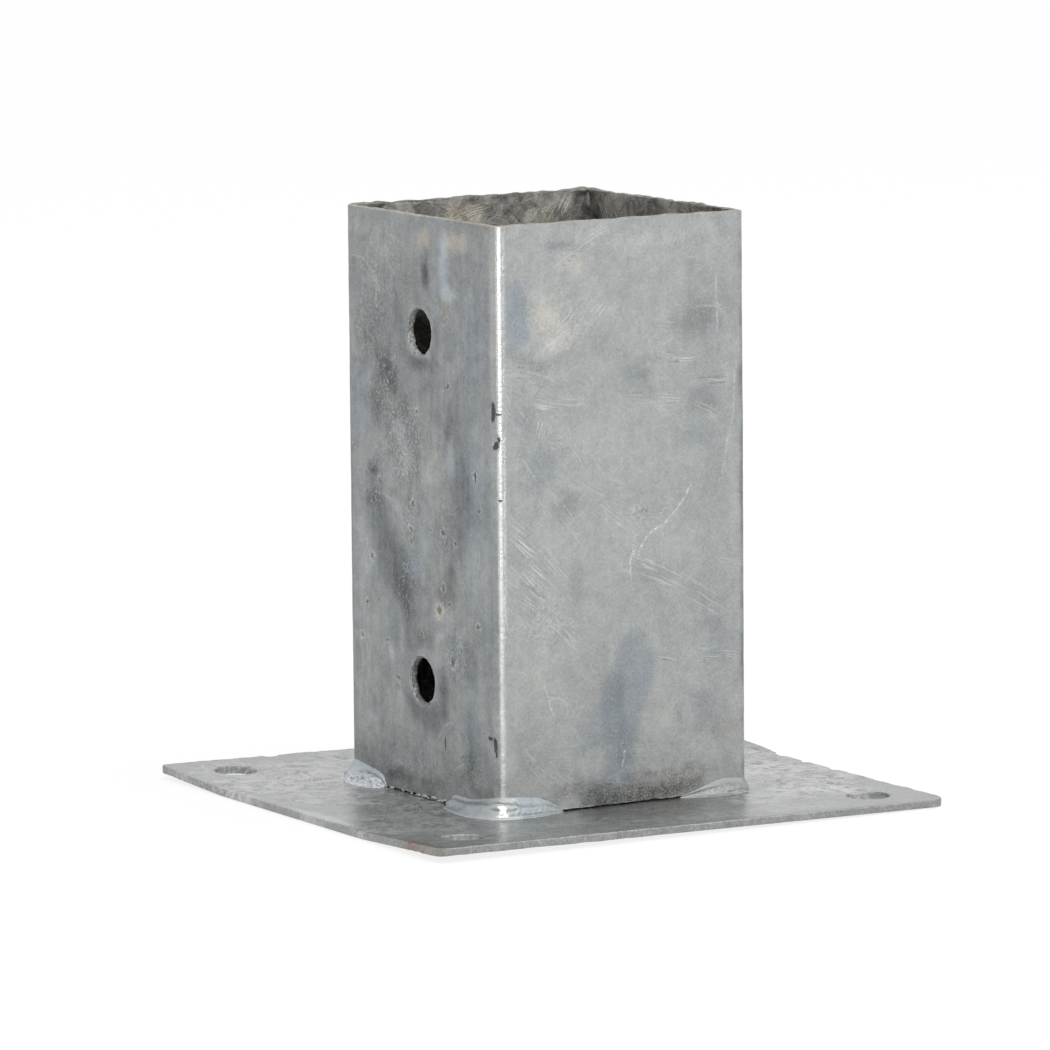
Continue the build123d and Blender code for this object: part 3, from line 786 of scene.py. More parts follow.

# %% [markdown]
# ## Marks and relief of the plate
# The plate's top is swirled with whitish zinc, smoother and greyer in front of the socket. Its sheared edges
# are rough: lumps of zinc, and small bites where the shears tore the sheet. The left edge carries a pale bar, a
# painted highlight along the top's edge.

# %% Marks on the plate: x, y, half sizes, turn, tone, cool
# The thin pale strip at x -73.2, along the left edge, is a painted highlight on the top's edge; the other ovals are
# clouds of the zinc.
PLATE_CLOUDS_AND_EDGE_HIGHLIGHT = (
    (-30, -54, 22, 8, -8, 0.25, 0.1), (0, -60, 14, 9, 0, -0.1, 0.0), (10, -52, 10, 6, 0, 0.1, -0.3),
    (-58, -35, 14, 18, 0, 0.3, 0.3), (-46, 0, 7, 16, 0, -0.2, -0.5), (-73.2, -10, 2.2, 20, 0, 1.4, 0.3),
    (-56, 30, 14, 22, 20, 0.2, 0.2), (-42, 52, 14, 16, 30, 0.25, 0.1), (-62, 50, 10, 10, 0, -0.05, 0.3),
    (-40, 25, 4, 9, -10, 0.4, 0.2), (-47, 24, 5, 8, 0, -0.05, -0.7), (52, -20, 12, 16, 30, 0.3, 0.1),
    (45, -50, 14, 14, 40, 0.25, 0.3), (66, -30, 6, 24, 0, -0.1, 0.4), (66, 10, 6, 24, 0, -0.15, 0.1),
    (30, -73.5, 30, 1.4, 0, -0.5, 0.1), (0, 58, 40, 12, 5, 0.1, 0.2), (50, 55, 16, 16, 0, -0.1, 0.3),
)
# Rust, bloom and grit: x, y, half sizes, amount
PLATE_RUST = ((-75.5, -62, 2.4, 8, 0.9), (-76, -70, 3, 4, 1.0), (-72, -72, 3, 3, 0.35))
PLATE_BLOOM = (
    (-55, 35, 24, 40, 0.85), (-46, -8, 12, 20, 0.7), (-58, -32, 18, 20, 0.5), (-54, -58, 18, 9, 0.35),
    (56, -10, 22, 50, 1.0), (40, -48, 16, 12, 0.6), (0, 58, 60, 16, 0.8), (-30, -54, 18, 5, 0.35),
    (20, -66, 40, 7, 0.35),
)
PLATE_GRIT = ((-50, 40, 26, 34, 0.3), (55, -20, 18, 40, 0.1), (-60, -50, 12, 16, 0.3), (0, 60, 60, 12, 0.4))
PLATE_SHEAVES = (
    (-52, 45, 50, 30, 58, 0.3, 0.8), (-52, 8, 30, 22, 70, 0.6, 0.6), (-55, -22, 24, 16, -40, 0.4, 0.6),
    (50, -35, 46, 24, 52, 0.2, 0.7), (20, -64, 60, 12, 3, 0.1, 0.6), (62, 20, 40, 16, 80, 0.2, 0.7),
    (0, 58, 60, 20, 10, 0.4, 0.7),
)
plate_x, plate_y = plate_points[:, 0], plate_points[:, 1]
plate_tone, plate_cool = np.zeros(len(plate_points)), np.zeros(len(plate_points))
plate_ragged = 0.3 * lumps(plate_points, 7.0, 21) + 0.15 * lumps(plate_points, 3.0, 22)
everywhere = np.arange(len(plate_points))
paint((plate_tone, plate_cool), everywhere, PLATE_CLOUDS_AND_EDGE_HIGHLIGHT, plate_x, plate_y, plate_ragged, solid=0.6)
plate_rust, plate_grit, plate_bloom = (
    strongest(table, plate_x, plate_y, plate_ragged) for table in (PLATE_RUST, PLATE_GRIT, PLATE_BLOOM)
)
plate_tone = np.where(plate_cut, plate_tone - 0.4, plate_tone + 0.4)
plate_grit = np.where(plate_cut, 0.6, plate_grit)
plate_strokes, plate_stroke_place = np.zeros(len(plate_points)), np.zeros((len(plate_points), 3))
lay_sheaves((plate_strokes, plate_stroke_place), everywhere, PLATE_SHEAVES, plate_x, plate_y)
print("plate tone from", round(plate_tone.min(), 2), "to", round(plate_tone.max(), 2))

# %% Raise the plate's skin. Bites: x, y, half sizes, depth
BITES = (
    (75.3, 4.0, 1.6, 2.6, 0.6), (75.0, -8.0, 1.4, 1.6, 0.5), (74.6, -22.0, 1.2, 2.0, 0.35),
    (75.8, 24.0, 1.2, 1.4, 0.4), (-40.0, 76.0, 2.2, 1.4, 0.4), (-12.0, 75.5, 1.6, 1.3, 0.4),
    (-74.6, 30.0, 1.2, 1.6, 0.35), (-75.4, 12.0, 1.2, 1.2, 0.3),
)
turned = plate_points[:, :2] @ np.array(
    [[np.cos(PLATE_TURN), -np.sin(PLATE_TURN)], [np.sin(PLATE_TURN), np.cos(PLATE_TURN)]]
)
edge_closeness = ramp(np.abs(turned).max(1), HALF_PLATE - 0.9, HALF_PLATE - 0.1)
relief = 0.05 * lumps(plate_points, 18.0, 23) + 0.04 * lumps(plate_points, 6.0, 24)
relief += 0.028 * lumps(plate_points, 2.4, 25)
relief += 0.1 * plate_grit * lumps(plate_points, 1.6, 26)
relief += 0.03 * plate_strokes * lumps(plate_stroke_place, (1.3, 9.0, 1.0), 27)
relief += edge_closeness * (0.1 * lumps(plate_points, 2.0, 28) + 0.09 * lumps(plate_points, 4.5, 29))
for x, y, half_x, half_y, depth in BITES:
    relief -= depth * oval(plate_x, plate_y, (x, y), (half_x, half_y))
under = plate_points[:, 2] < SHEET / 2
relief = np.where(under, 0.0, relief)
plate_moved = raise_surface(plate, plate_points, relief)
store(plate, tone=plate_tone, cool=plate_cool, grit=plate_grit, soot=0.0, rust=plate_rust, bloom=plate_bloom)
store(plate, stroke_amount=plate_strokes, stroke_place=plate_stroke_place, uneven=1.0)
store(plate, wall_place=np.stack([plate_x, plate_y, 20.0 * under], 1))
print("plate lowest point in mm:", round(plate_moved[:, 2].min(), 2))

# %% [markdown]
# ## Weld beads
# A bead is a string of overlapping puddles. From above each one is a ripple, and at the ends it either stops
# in a round lobe or trails off. Here a bead is a tube whose section is a rounded triangle in the corner
# between wall and plate. Its size follows a short table of heights along the wall, read off the real part:
# full at the corner, less towards the ends. The back of the tube is buried in the steel it joins.

# %% Path of a bead round one corner
BEAD_STEP = 0.22
BEAD_ROWS = 30
BURIED = 0.35
RIPPLE_LENGTH = 1.7
CORNER_ARC = np.pi / 2 * OUTSIDE_BEND


def bead_path(place):
    """Point on the wall and outward direction at distances along a bead, before the corner's turn.
    Zero is the middle of the bend, minus runs along the -X wall and plus along the -Y wall."""
    half = CORNER_ARC / 2
    turn = np.clip((place + half) / CORNER_ARC, 0, 1) * np.pi / 2
    outward = np.stack([-np.cos(turn), -np.sin(turn)], 1)
    centre = -STRAIGHT / 2
    point = centre + OUTSIDE_BEND * outward
    point[:, 1] += np.clip(-half - place, 0, None)
    point[:, 0] += np.clip(place - half, 0, None)
    return point, outward


# %% [markdown]
# The section is drawn in polar form: at each angle from the plate up to the wall, how far the bead reaches.
# Three kinds of unevenness are laid over that reach: ripples across the bead, long runs of zinc along it, and
# small lumps near the toe, where the zinc piled up on the plate. Each bead has its own mixture of the three.

# %% Shape of one bead


def tube_faces(row_count, side_count, start=0, capped=True):
    """Faces of a tube whose points are numbered ring by ring."""
    grid = start + np.arange(row_count * side_count).reshape(row_count, side_count)
    after = np.roll(grid, -1, 1)
    faces = np.stack([grid[:-1], after[:-1], after[1:], grid[1:]], -1).reshape(-1, 4).tolist()
    return faces + [grid[0, ::-1].tolist(), grid[-1].tolist()] if capped else faces


DROP_ANGLE = 1.12
BEAD_TONES = {"bead_front": 0.0, "bead_right": -0.5, "bead_back": -0.3, "bead_left": 0.6}


def bead_mesh(name, table, turn, seed, ripple, run, lump, drip):
    """table rows: place along the bead in mm, height up the wall, width on the plate. ripple, run and lump are
    the three kinds of unevenness, in mm, and drip is the height of the frozen drop at the corner."""
    stops = np.array(table, float)
    count = int(np.ceil((stops[-1, 0] - stops[0, 0]) / BEAD_STEP))
    place = np.linspace(stops[0, 0], stops[-1, 0], count + 1)
    wall_leg, plate_leg = (np.interp(place, stops[:, 0], stops[:, column]) for column in (1, 2))
    smooth = np.ones(7) / 7
    wall_leg[3:-3] = np.convolve(wall_leg, smooth, "valid")
    plate_leg[3:-3] = np.convolve(plate_leg, smooth, "valid")
    point, outward = bead_path(place)
    fullness = np.clip(np.minimum(wall_leg, plate_leg) / 2.5, 0, 1)
    drop = np.exp(-(((place - 0.2) / 1.8) ** 2)) + 0.7 * np.exp(-(((place - 3.4) / 1.1) ** 2))
    rings = []
    for angle in np.linspace(0, np.pi / 2, BEAD_ROWS):
        straight = 1 / (np.cos(angle) / plate_leg + np.sin(angle) / wall_leg)
        crown = np.sin(2 * angle)
        reach = straight * (1 + 0.2 * crown**2) + 0.45 * fullness * (
            np.exp(-angle / 0.1) + np.exp(-(np.pi / 2 - angle) / 0.1)
        )
        across = 4.0 * angle
        where = np.column_stack([place, np.full(len(place), across), np.full(len(place), float(seed))])
        wave = np.sin(2 * np.pi * (place + 0.9 * np.cos(2 * angle)) / RIPPLE_LENGTH + 2.2 * lumps(where, 5.0, seed))
        toe = np.cos(angle) ** 2
        uneven = ripple * wave * crown**0.5
        uneven += run * lumps(where, (7.0, 0.75, 1.0), seed + 1) + 0.14 * lumps(where, (4.5, 3.0, 1.0), seed + 2)
        uneven += lump * toe * lumps(where, (1.5, 1.1, 1.0), seed + 3) + 0.3 * lump * lumps(where, 1.0, seed + 4)
        high = np.exp(-(((angle - DROP_ANGLE) / 0.3) ** 2))
        uneven += drip * drop * (0.3 + 2.6 * high * (1 + 0.5 * lumps(where, (1.1, 1.0, 1.0), seed + 5)))
        reach = reach + fullness * uneven * min(1.0, 0.25 + 2.5 * crown)
        out, up = np.cos(angle) * reach, np.sin(angle) * reach
        rings.append(np.column_stack([point + outward * out[:, None], SHEET + up]))
    toe_edge = rings[0] - (0, 0, BURIED)
    root = np.column_stack([point - outward * BURIED, np.full(len(place), SHEET - BURIED)])
    crest = rings[-1].copy()
    crest[:, :2] -= outward * BURIED
    rings = [root, toe_edge, *rings, crest]
    points = np.stack(rings, 1).reshape(-1, 3)
    faces = tube_faces(len(place), len(rings))
    spin = np.radians(turn)
    plan = points[:, :2] @ np.array([[np.cos(spin), np.sin(spin)], [-np.sin(spin), np.cos(spin)]])
    points = np.column_stack([plan, points[:, 2]])
    piece = make_piece(name, points, faces)
    angles = np.concatenate([[0, 0], np.linspace(0, np.pi / 2, BEAD_ROWS), [np.pi / 2]])
    along, around = np.repeat(place, len(rings)), np.tile(angles, len(place))
    store(piece, wall_place=np.stack([4.0 * around, along, np.full(len(points), float(seed))], 1))
    # The frozen drop is smoother zinc, and it is also paled as a painted highlight.
    store(piece, shine=np.repeat(drop, len(rings)) if drip else 0.0, uneven=0.8)
    store(piece, bloom=1.2 * np.cos(around) ** 2 if lump > 0.3 else 0.0)
    # Painted highlight: the bead's toe along the plate is paler.
    store(piece, tone=BEAD_TONES[name] + 0.5 * np.exp(-((around / 0.12) ** 2)))
    return piece


# %% The four corner beads: place along the bead, height, width
BEADS = {
    "front": (
        ((-23.9, 0.2, 0.3), (-23.5, 1.5, 1.4), (-22.4, 2.4, 2.6), (-20.5, 2.7, 3.4), (-18, 2.6, 3.9),
         (-15, 2.6, 4.5), (-11, 3.0, 5.2), (-6.5, 3.8, 5.2), (-3.5, 4.4, 4.2), (-1.5, 4.7, 3.0), (0, 4.9, 2.5),
         (2, 4.9, 2.5), (4, 4.8, 2.7), (8, 4.5, 2.7), (11.5, 4.0, 2.3), (14, 3.0, 1.8), (16, 1.9, 1.3),
         (17.6, 0.9, 0.8), (18.4, 0.2, 0.3)),
        0, 31, 0.03, 0.07, 0.12, 0.35,
    ),
    "right": (
        ((-20.4, 0.15, 0.3), (-18, 0.8, 1.0), (-15.6, 1.5, 2.0), (-12, 2.4, 2.5), (-9, 3.3, 2.9), (-6.5, 3.7, 2.8),
         (-3, 3.5, 2.2), (-1.5, 3.4, 1.6), (0, 3.3, 1.2), (2, 3.2, 1.5), (5, 3.0, 1.8), (10, 2.3, 1.7),
         (14, 1.5, 1.5), (16, 0.2, 0.3)),
        90, 41, 0.035, 0.05, 0.16, 0.0,
    ),
    "back": (
        ((-18, 0.2, 0.3), (-16, 1.8, 2.0), (-10, 3.4, 3.4), (-4, 4.2, 4.0), (0, 4.4, 4.2), (6, 4.0, 3.8),
         (12, 3.0, 3.0), (16.5, 1.8, 2.0), (18, 0.2, 0.3)),
        180, 51, 0.1, 0.06, 0.15, 0.0,
    ),
    "left": (
        ((-15, 0.2, 0.3), (-13, 1.8, 2.0), (-8, 3.6, 3.0), (-3, 4.6, 3.4), (0, 4.9, 3.2), (2.2, 4.8, 3.5),
         (5, 4.5, 4.1), (8, 4.1, 4.5), (12.3, 3.6, 4.6), (15, 3.1, 4.1), (16.6, 2.4, 3.2), (17.5, 1.3, 1.9),
         (17.9, 0.2, 0.4)),
        270, 61, 0.03, 0.08, 0.55, 0.0,
    ),
}
beads = {corner: bead_mesh("bead_" + corner, *row) for corner, row in BEADS.items()}

# %% [markdown]
# ## Drops along the gap
# Between two beads the socket does not touch the plate. On the side wall, zinc froze in that gap as a broken
# string of small drops. Each drop is a lumpy ball, pressed flat, half in the gap.

# %% Drops: distance along the wall, radius, height
DROP_TURNS = 12
DROP_RINGS = 7
DROPS = (
    (19.6, 0.55, 0.0), (16.0, 0.6, 0.1), (10.5, 0.3, 0.0), (6.2, 0.35, 0.0), (3.6, 0.3, 0.0), (2.2, 0.5, 0.1),
    (0.6, 0.32, 0.0), (-0.8, 0.6, 0.3), (-2.4, 0.38, 0.0), (-4.0, 0.32, 0.1), (-5.2, 0.6, 0.4), (-7.0, 0.38, 0.0),
    (-8.2, 0.4, 0.1), (-9.5, 0.55, 0.3), (-10.6, 0.4, 0.6), (-11.8, 0.42, 0.0), (-13.0, 0.36, 0.0),
)
drop_points, drop_faces = [], []
for number, (along, radius, lift) in enumerate(DROPS):
    turns = np.linspace(0, 2 * np.pi, DROP_TURNS, endpoint=False)
    rises = np.linspace(-np.pi / 2, np.pi / 2, DROP_RINGS)
    turn_grid, rise_grid = np.meshgrid(turns, rises)
    ball = np.stack(
        [np.cos(turn_grid) * np.cos(rise_grid), 1.7 * np.sin(turn_grid) * np.cos(rise_grid), 0.8 * np.sin(rise_grid)],
        -1,
    ).reshape(-1, 3)
    size = radius * (1 + 0.35 * lumps(ball + 9.0 * number, 0.9, 81))
    centre = (-HALF_SOCKET - 0.05, along, FOOT - 0.1 + lift)
    drop_points.append(ball * size[:, None] + centre)
    drop_faces += tube_faces(DROP_RINGS, DROP_TURNS, number * len(ball), capped=False)
drops = make_piece("zinc_drops", np.concatenate(drop_points), drop_faces)
joiner = bmesh.new()
joiner.from_mesh(drops.data)
bmesh.ops.remove_doubles(joiner, verts=joiner.verts, dist=0.001 * MM)
bmesh.ops.recalc_face_normals(joiner, faces=joiner.faces)
joiner.to_mesh(drops.data)
joiner.free()
store(drops, uneven=1.0)
print("drops along the gap:", len(DROPS))

# %% [markdown]
# ## The seam
# The fourth corner of the socket was never bent. The strip's two free edges meet there, and a bead runs from
# foot to rim. It is a rippled column whose outside bulges just past the walls. At the rim it ends in a
# thicker drop of zinc that reaches a little way down inside the corner.

# %% Seam column with its lump
SEAM_SIDES = 40
SEAM_CENTRE = np.array((36.15, 36.15))
SEAM_RADIUS = 1.55
SEAM_RIPPLE = 2.1
LUMP_CENTRE = np.array((36.1, 36.0))
LUMP_MIDDLE = RIM - 3.2
LUMP_RADIUS = 1.65
LUMP_RISE = 3.5
OUTER_LIMIT = HALF_SOCKET + 0.38
column_levels = np.arange(FOOT, LUMP_MIDDLE - LUMP_RISE, 0.3)
lump_levels = LUMP_MIDDLE - LUMP_RISE * np.cos(np.linspace(0.05, np.pi - 0.08, 22))
seam_rows = []
turns = np.linspace(0, 2 * np.pi, SEAM_SIDES, endpoint=False)
ways = np.stack([np.cos(turns), np.sin(turns)], 1)
outside = ways @ (0.7071, 0.7071)
for level in np.concatenate([column_levels, lump_levels]):
    where = np.column_stack([3 * ways, np.full(SEAM_SIDES, level)])
    chevron = np.sin(2 * np.pi * (level - 1.6 * outside**2) / SEAM_RIPPLE)
    swell = max(0.0, 1 - abs((level - LUMP_MIDDLE) / LUMP_RISE) ** 3) ** 0.6
    blend = min(1.0, swell / 0.55)
    centre = SEAM_CENTRE * (1 - blend) + LUMP_CENTRE * blend
    column = SEAM_RADIUS + np.where(outside > 0, 0.35 - 0.3 * outside + 0.09 * chevron, -0.2)
    closing = blend if level > LUMP_MIDDLE else 1.0
    reach = np.maximum(column * closing, LUMP_RADIUS * swell * (1 + 0.16 * lumps(where, 3.0, 72)))
    reach = reach + 0.1 * lumps(where, 1.6, 71) * min(1.0, swell + (level < LUMP_MIDDLE))
    for axis in (0, 1):
        room = np.where(ways[:, axis] > 0.05, (OUTER_LIMIT - centre[axis]) / np.maximum(ways[:, axis], 0.05), 99.0)
        reach = np.minimum(reach, room + 0.05 * chevron)
    plan = centre + ways * np.clip(reach, 0.06, None)[:, None]
    seam_rows.append(np.column_stack([plan, np.full(SEAM_SIDES, level)]))
seam_points = np.concatenate(seam_rows)
seam = make_piece("seam_bead", seam_points, tube_faces(len(seam_rows), SEAM_SIDES))
inward = 1 - ramp(np.tile(outside, len(seam_rows)), -0.1, 0.5)
high_up = ramp(seam_points[:, 2], RIM - 4.0, RIM - 1.0)
# Painted shade: the side of the seam that faces into the socket is darkened below its top; near the top the seam is
# darker, bluer zinc.
store(seam, inside=inward, tone=-1.3 * inward * (1 - high_up) - 0.8 * high_up, cool=0.8 * high_up, uneven=1.0)
turn_of_point = np.tile(turns, len(seam_rows))
store(seam, wall_place=np.stack([3 * turn_of_point, seam_points[:, 2], np.full(len(seam_points), 7.0)], 1))

# %% [markdown]
# ## The zinc finish
# Hot-dip zinc is metal, so its grey is mostly a soft reflection. Clouds of slightly different grey lie over a
# finer mottle, and the whole surface carries a fine grain that breaks the reflection up. The stored marks add
# the particular clouds, strokes, grit, soot and rust, and some painted shade and painted highlights. Short
# helpers keep the wiring readable.

# %% Helpers for wiring a finish


class Wire:
    """What comes out of a shader node. Sums and products of wires add the Math nodes that work them out."""

    def __init__(self, tree, socket):
        self.tree, self.socket = tree, socket

    def math(self, operation, *others):
        sockets = dict(enumerate((self, *others)))
        return add_node(self.tree, "ShaderNodeMath", sockets, operation=operation)

    def __add__(self, other):
        return self.math("ADD", other)

    def __mul__(self, other):
        return self.math("MULTIPLY", other)

    def vector(self, operation, sockets, output=0):
        """A sum on places or colours; this wire is the first of them."""
        return add_node(self.tree, "ShaderNodeVectorMath", {0: self, **sockets}, output, operation=operation)


def add_node(tree, kind, sockets=None, output=0, **settings):
    """Adds one shader node with its settings, sets or joins its sockets, and returns the wire of one output."""
    node = tree.nodes.new(kind)
    for key, value in settings.items():
        setattr(node, key, value)
    for key, value in (sockets or {}).items():
        if isinstance(value, Wire):
            tree.links.new(value.socket, node.inputs[key])
        else:
            node.inputs[key].default_value = value
    return Wire(tree, node.outputs[output]) if len(node.outputs) else None


def spread(value, low, high, out_low=0.0, out_high=1.0):
    """Stretches the part of a value between low and high over a new range, with smooth ends."""
    sockets = {"Value": value, "From Min": low, "From Max": high, "To Min": out_low, "To Max": out_high}
    return add_node(value.tree, "ShaderNodeMapRange", sockets, interpolation_type="SMOOTHSTEP")


def grain(place, size, detail=3.0, roughness=0.55, distortion=0.0, output="Fac"):
    """Noise from 0 to 1 whose lumps are about size mm across. size may be one number for each axis."""
    sizes = size if isinstance(size, tuple) else (size, size, size)
    sockets = {"Vector": place.vector("MULTIPLY", {1: [1 / s for s in sizes]}), "Scale": 1.0, "Detail": detail,
               "Roughness": roughness, "Distortion": distortion}
    return add_node(place.tree, "ShaderNodeTexNoise", sockets, output)


def stored(tree, name, field="Fac"):
    """An amount that was stored on the mesh."""
    return add_node(tree, "ShaderNodeAttribute", None, field, attribute_name=name)


def tinted(share, first, second):
    """A colour between two others."""
    sockets = {0: share, 6: first, 7: second}
    sockets = {key: (*value, 1.0) if isinstance(value, tuple) else value for key, value in sockets.items()}
    return add_node(share.tree, "ShaderNodeMix", sockets, 2, data_type="RGBA", clamp_factor=True)


# %% [markdown]
# ## Small pits
# The side wall has a few pits with a pale ring round them, where something spat during dipping. Each pit is a
# point in space and a radius. The finish takes the smallest distance to any of them, counted in radii: below
# about one half it is the dark pit, and between one and one and a half it is the pale ring. A slit is a mark of
# the same kind, a narrow dark oval without a ring: a nick whose darkness is painted shade.

# %% Pits of the side wall: across, up, radius in mm
PITS = (
    (-25, 62, 1.2), (-28, 49.5, 1.1), (-30.5, 40.5, 1.0), (8.6, 51.8, 1.9), (11, 58, 1.1), (14, 54, 0.7),
    (15.4, 39.2, 1.6), (-4, 78, 1.1), (-5, 71.5, 0.9), (-5, 68, 0.8), (11, 72, 1.2), (17, 70, 0.9),
    (-12, 31.6, 0.9), (27, 88.5, 1.0), (29, 79.6, 0.9), (19.6, 43, 0.7), (20.2, 38, 0.6), (28, 49.6, 1.1),
    (14, 110, 0.9), (-1.6, 102, 1.0), (-8, 61, 0.8), (-17, 108, 0.8), (-24, 77, 0.9), (12, 108, 0.5),
    (-17.5, 41, 0.7), (0, 44.5, 0.6), (-33, 63, 0.5), (-34, 90, 0.7), (-9, 58, 0.6), (5, 72, 0.5),
)
# Slits, nicks darkened with painted shade: across, up, half width, half height in mm
SLITS = (
    (37.3, 104.9, 1.2, 0.35), (37.4, 83.0, 0.7, 0.45), (35.5, 105.4, 0.85, 2.7), (36.2, 97.0, 0.9, 1.2),
    (36.9, 98.4, 0.6, 0.9), (35.4, 20.4, 0.8, 1.9), (11.2, 17.6, 0.35, 1.8), (33.4, 22.0, 1.0, 0.5),
    (27.2, 88.0, 0.35, 1.4), (35.9, 18.2, 0.4, 0.9),
)


def nearest_mark(place, marks, depth=1.0):
    """Smallest distance to any of the marks, counted in their own radii. depth weighs the distance off the wall."""
    smallest = None
    for across, up, half_width, half_height in marks:
        away = place.vector("SUBTRACT", {1: (-HALF_SOCKET, -across, up)})
        length = away.vector("MULTIPLY", {1: (depth, 1 / half_width, 1 / half_height)}).vector("LENGTH", {}, "Value")
        smallest = smallest.math("MINIMUM", length) if smallest else length
    return smallest


# %% [markdown]
# ## Mixing the zinc
# One recipe serves all pieces, with a few settings: how rough and how metallic the zinc is, how large its
# bloom and its relief are, and whether the pits of the side wall are needed. The order matters. First the grey
# with its stored clouds, then the bloom, then the strokes and scratches that lie on top, and last grit, soot,
# rust and pits, which cover everything.

# %% Colours of the zinc
ZINC = (0.362, 0.372, 0.367)
ZINC_BLUE = (0.305, 0.342, 0.370)
ZINC_BEIGE = (0.405, 0.392, 0.352)
ZINC_PALE = (0.66, 0.66, 0.62)
ZINC_WHITE = (0.74, 0.73, 0.76)
ZINC_DARK = (0.115, 0.118, 0.120)
PIT_DARK_AND_SLIT_SHADE = (0.060, 0.062, 0.066)
SOOT_BROWN = (0.085, 0.072, 0.056)
RUST_BROWN = (0.250, 0.145, 0.082)
INSIDE_GREY = (0.305, 0.297, 0.275)
INSIDE_BEIGE = (0.400, 0.370, 0.305)
DARKEST = 0.09


def centred(value, amount):
    """A noise from 0 to 1 turned into a change of plus or minus half the amount."""
    return (value + -0.5) * amount


# %% [markdown]
# The dull skin carries fine hairs in all directions, left by handling. They come from one noise that is
# stretched along a line, used three times at three angles. A broad noise first shifts the places a little, so
# the hairs bend like brush marks. Drips are the same noise stretched upright.

# %% Hairs and drips


def wandering(place, size, reach):
    """Places shifted by a broad noise, so that straight marks drawn on them bend. reach is in mm on each axis."""
    noise = grain(place, size, 1.0, 0.5, output="Color")
    shift = noise.vector("SUBTRACT", {1: (0.5, 0.5, 0.5)})
    return shift.vector("MULTIPLY_ADD", {1: [2 * way for way in reach], 2: place})


def hairs(wall_place):
    """Fine pale hairs at three angles, from 0 to 1."""
    found = None
    bent = wandering(wall_place, 9.0, (3.0, 3.0, 0.0))
    for degrees, width, length in ((20, 0.5, 4.0), (-38, 0.55, 5.0), (74, 0.5, 6.0)):
        sockets = {"Vector": bent, "Angle": math.radians(degrees)}
        turned = add_node(bent.tree, "ShaderNodeVectorRotate", sockets, rotation_type="Z_AXIS")
        one = spread(grain(turned, (length, width, 1.0), 2.0, 0.6), 0.55, 0.7)
        found = found.math("MAXIMUM", one) if found else one
    return found


# %% The zinc recipe


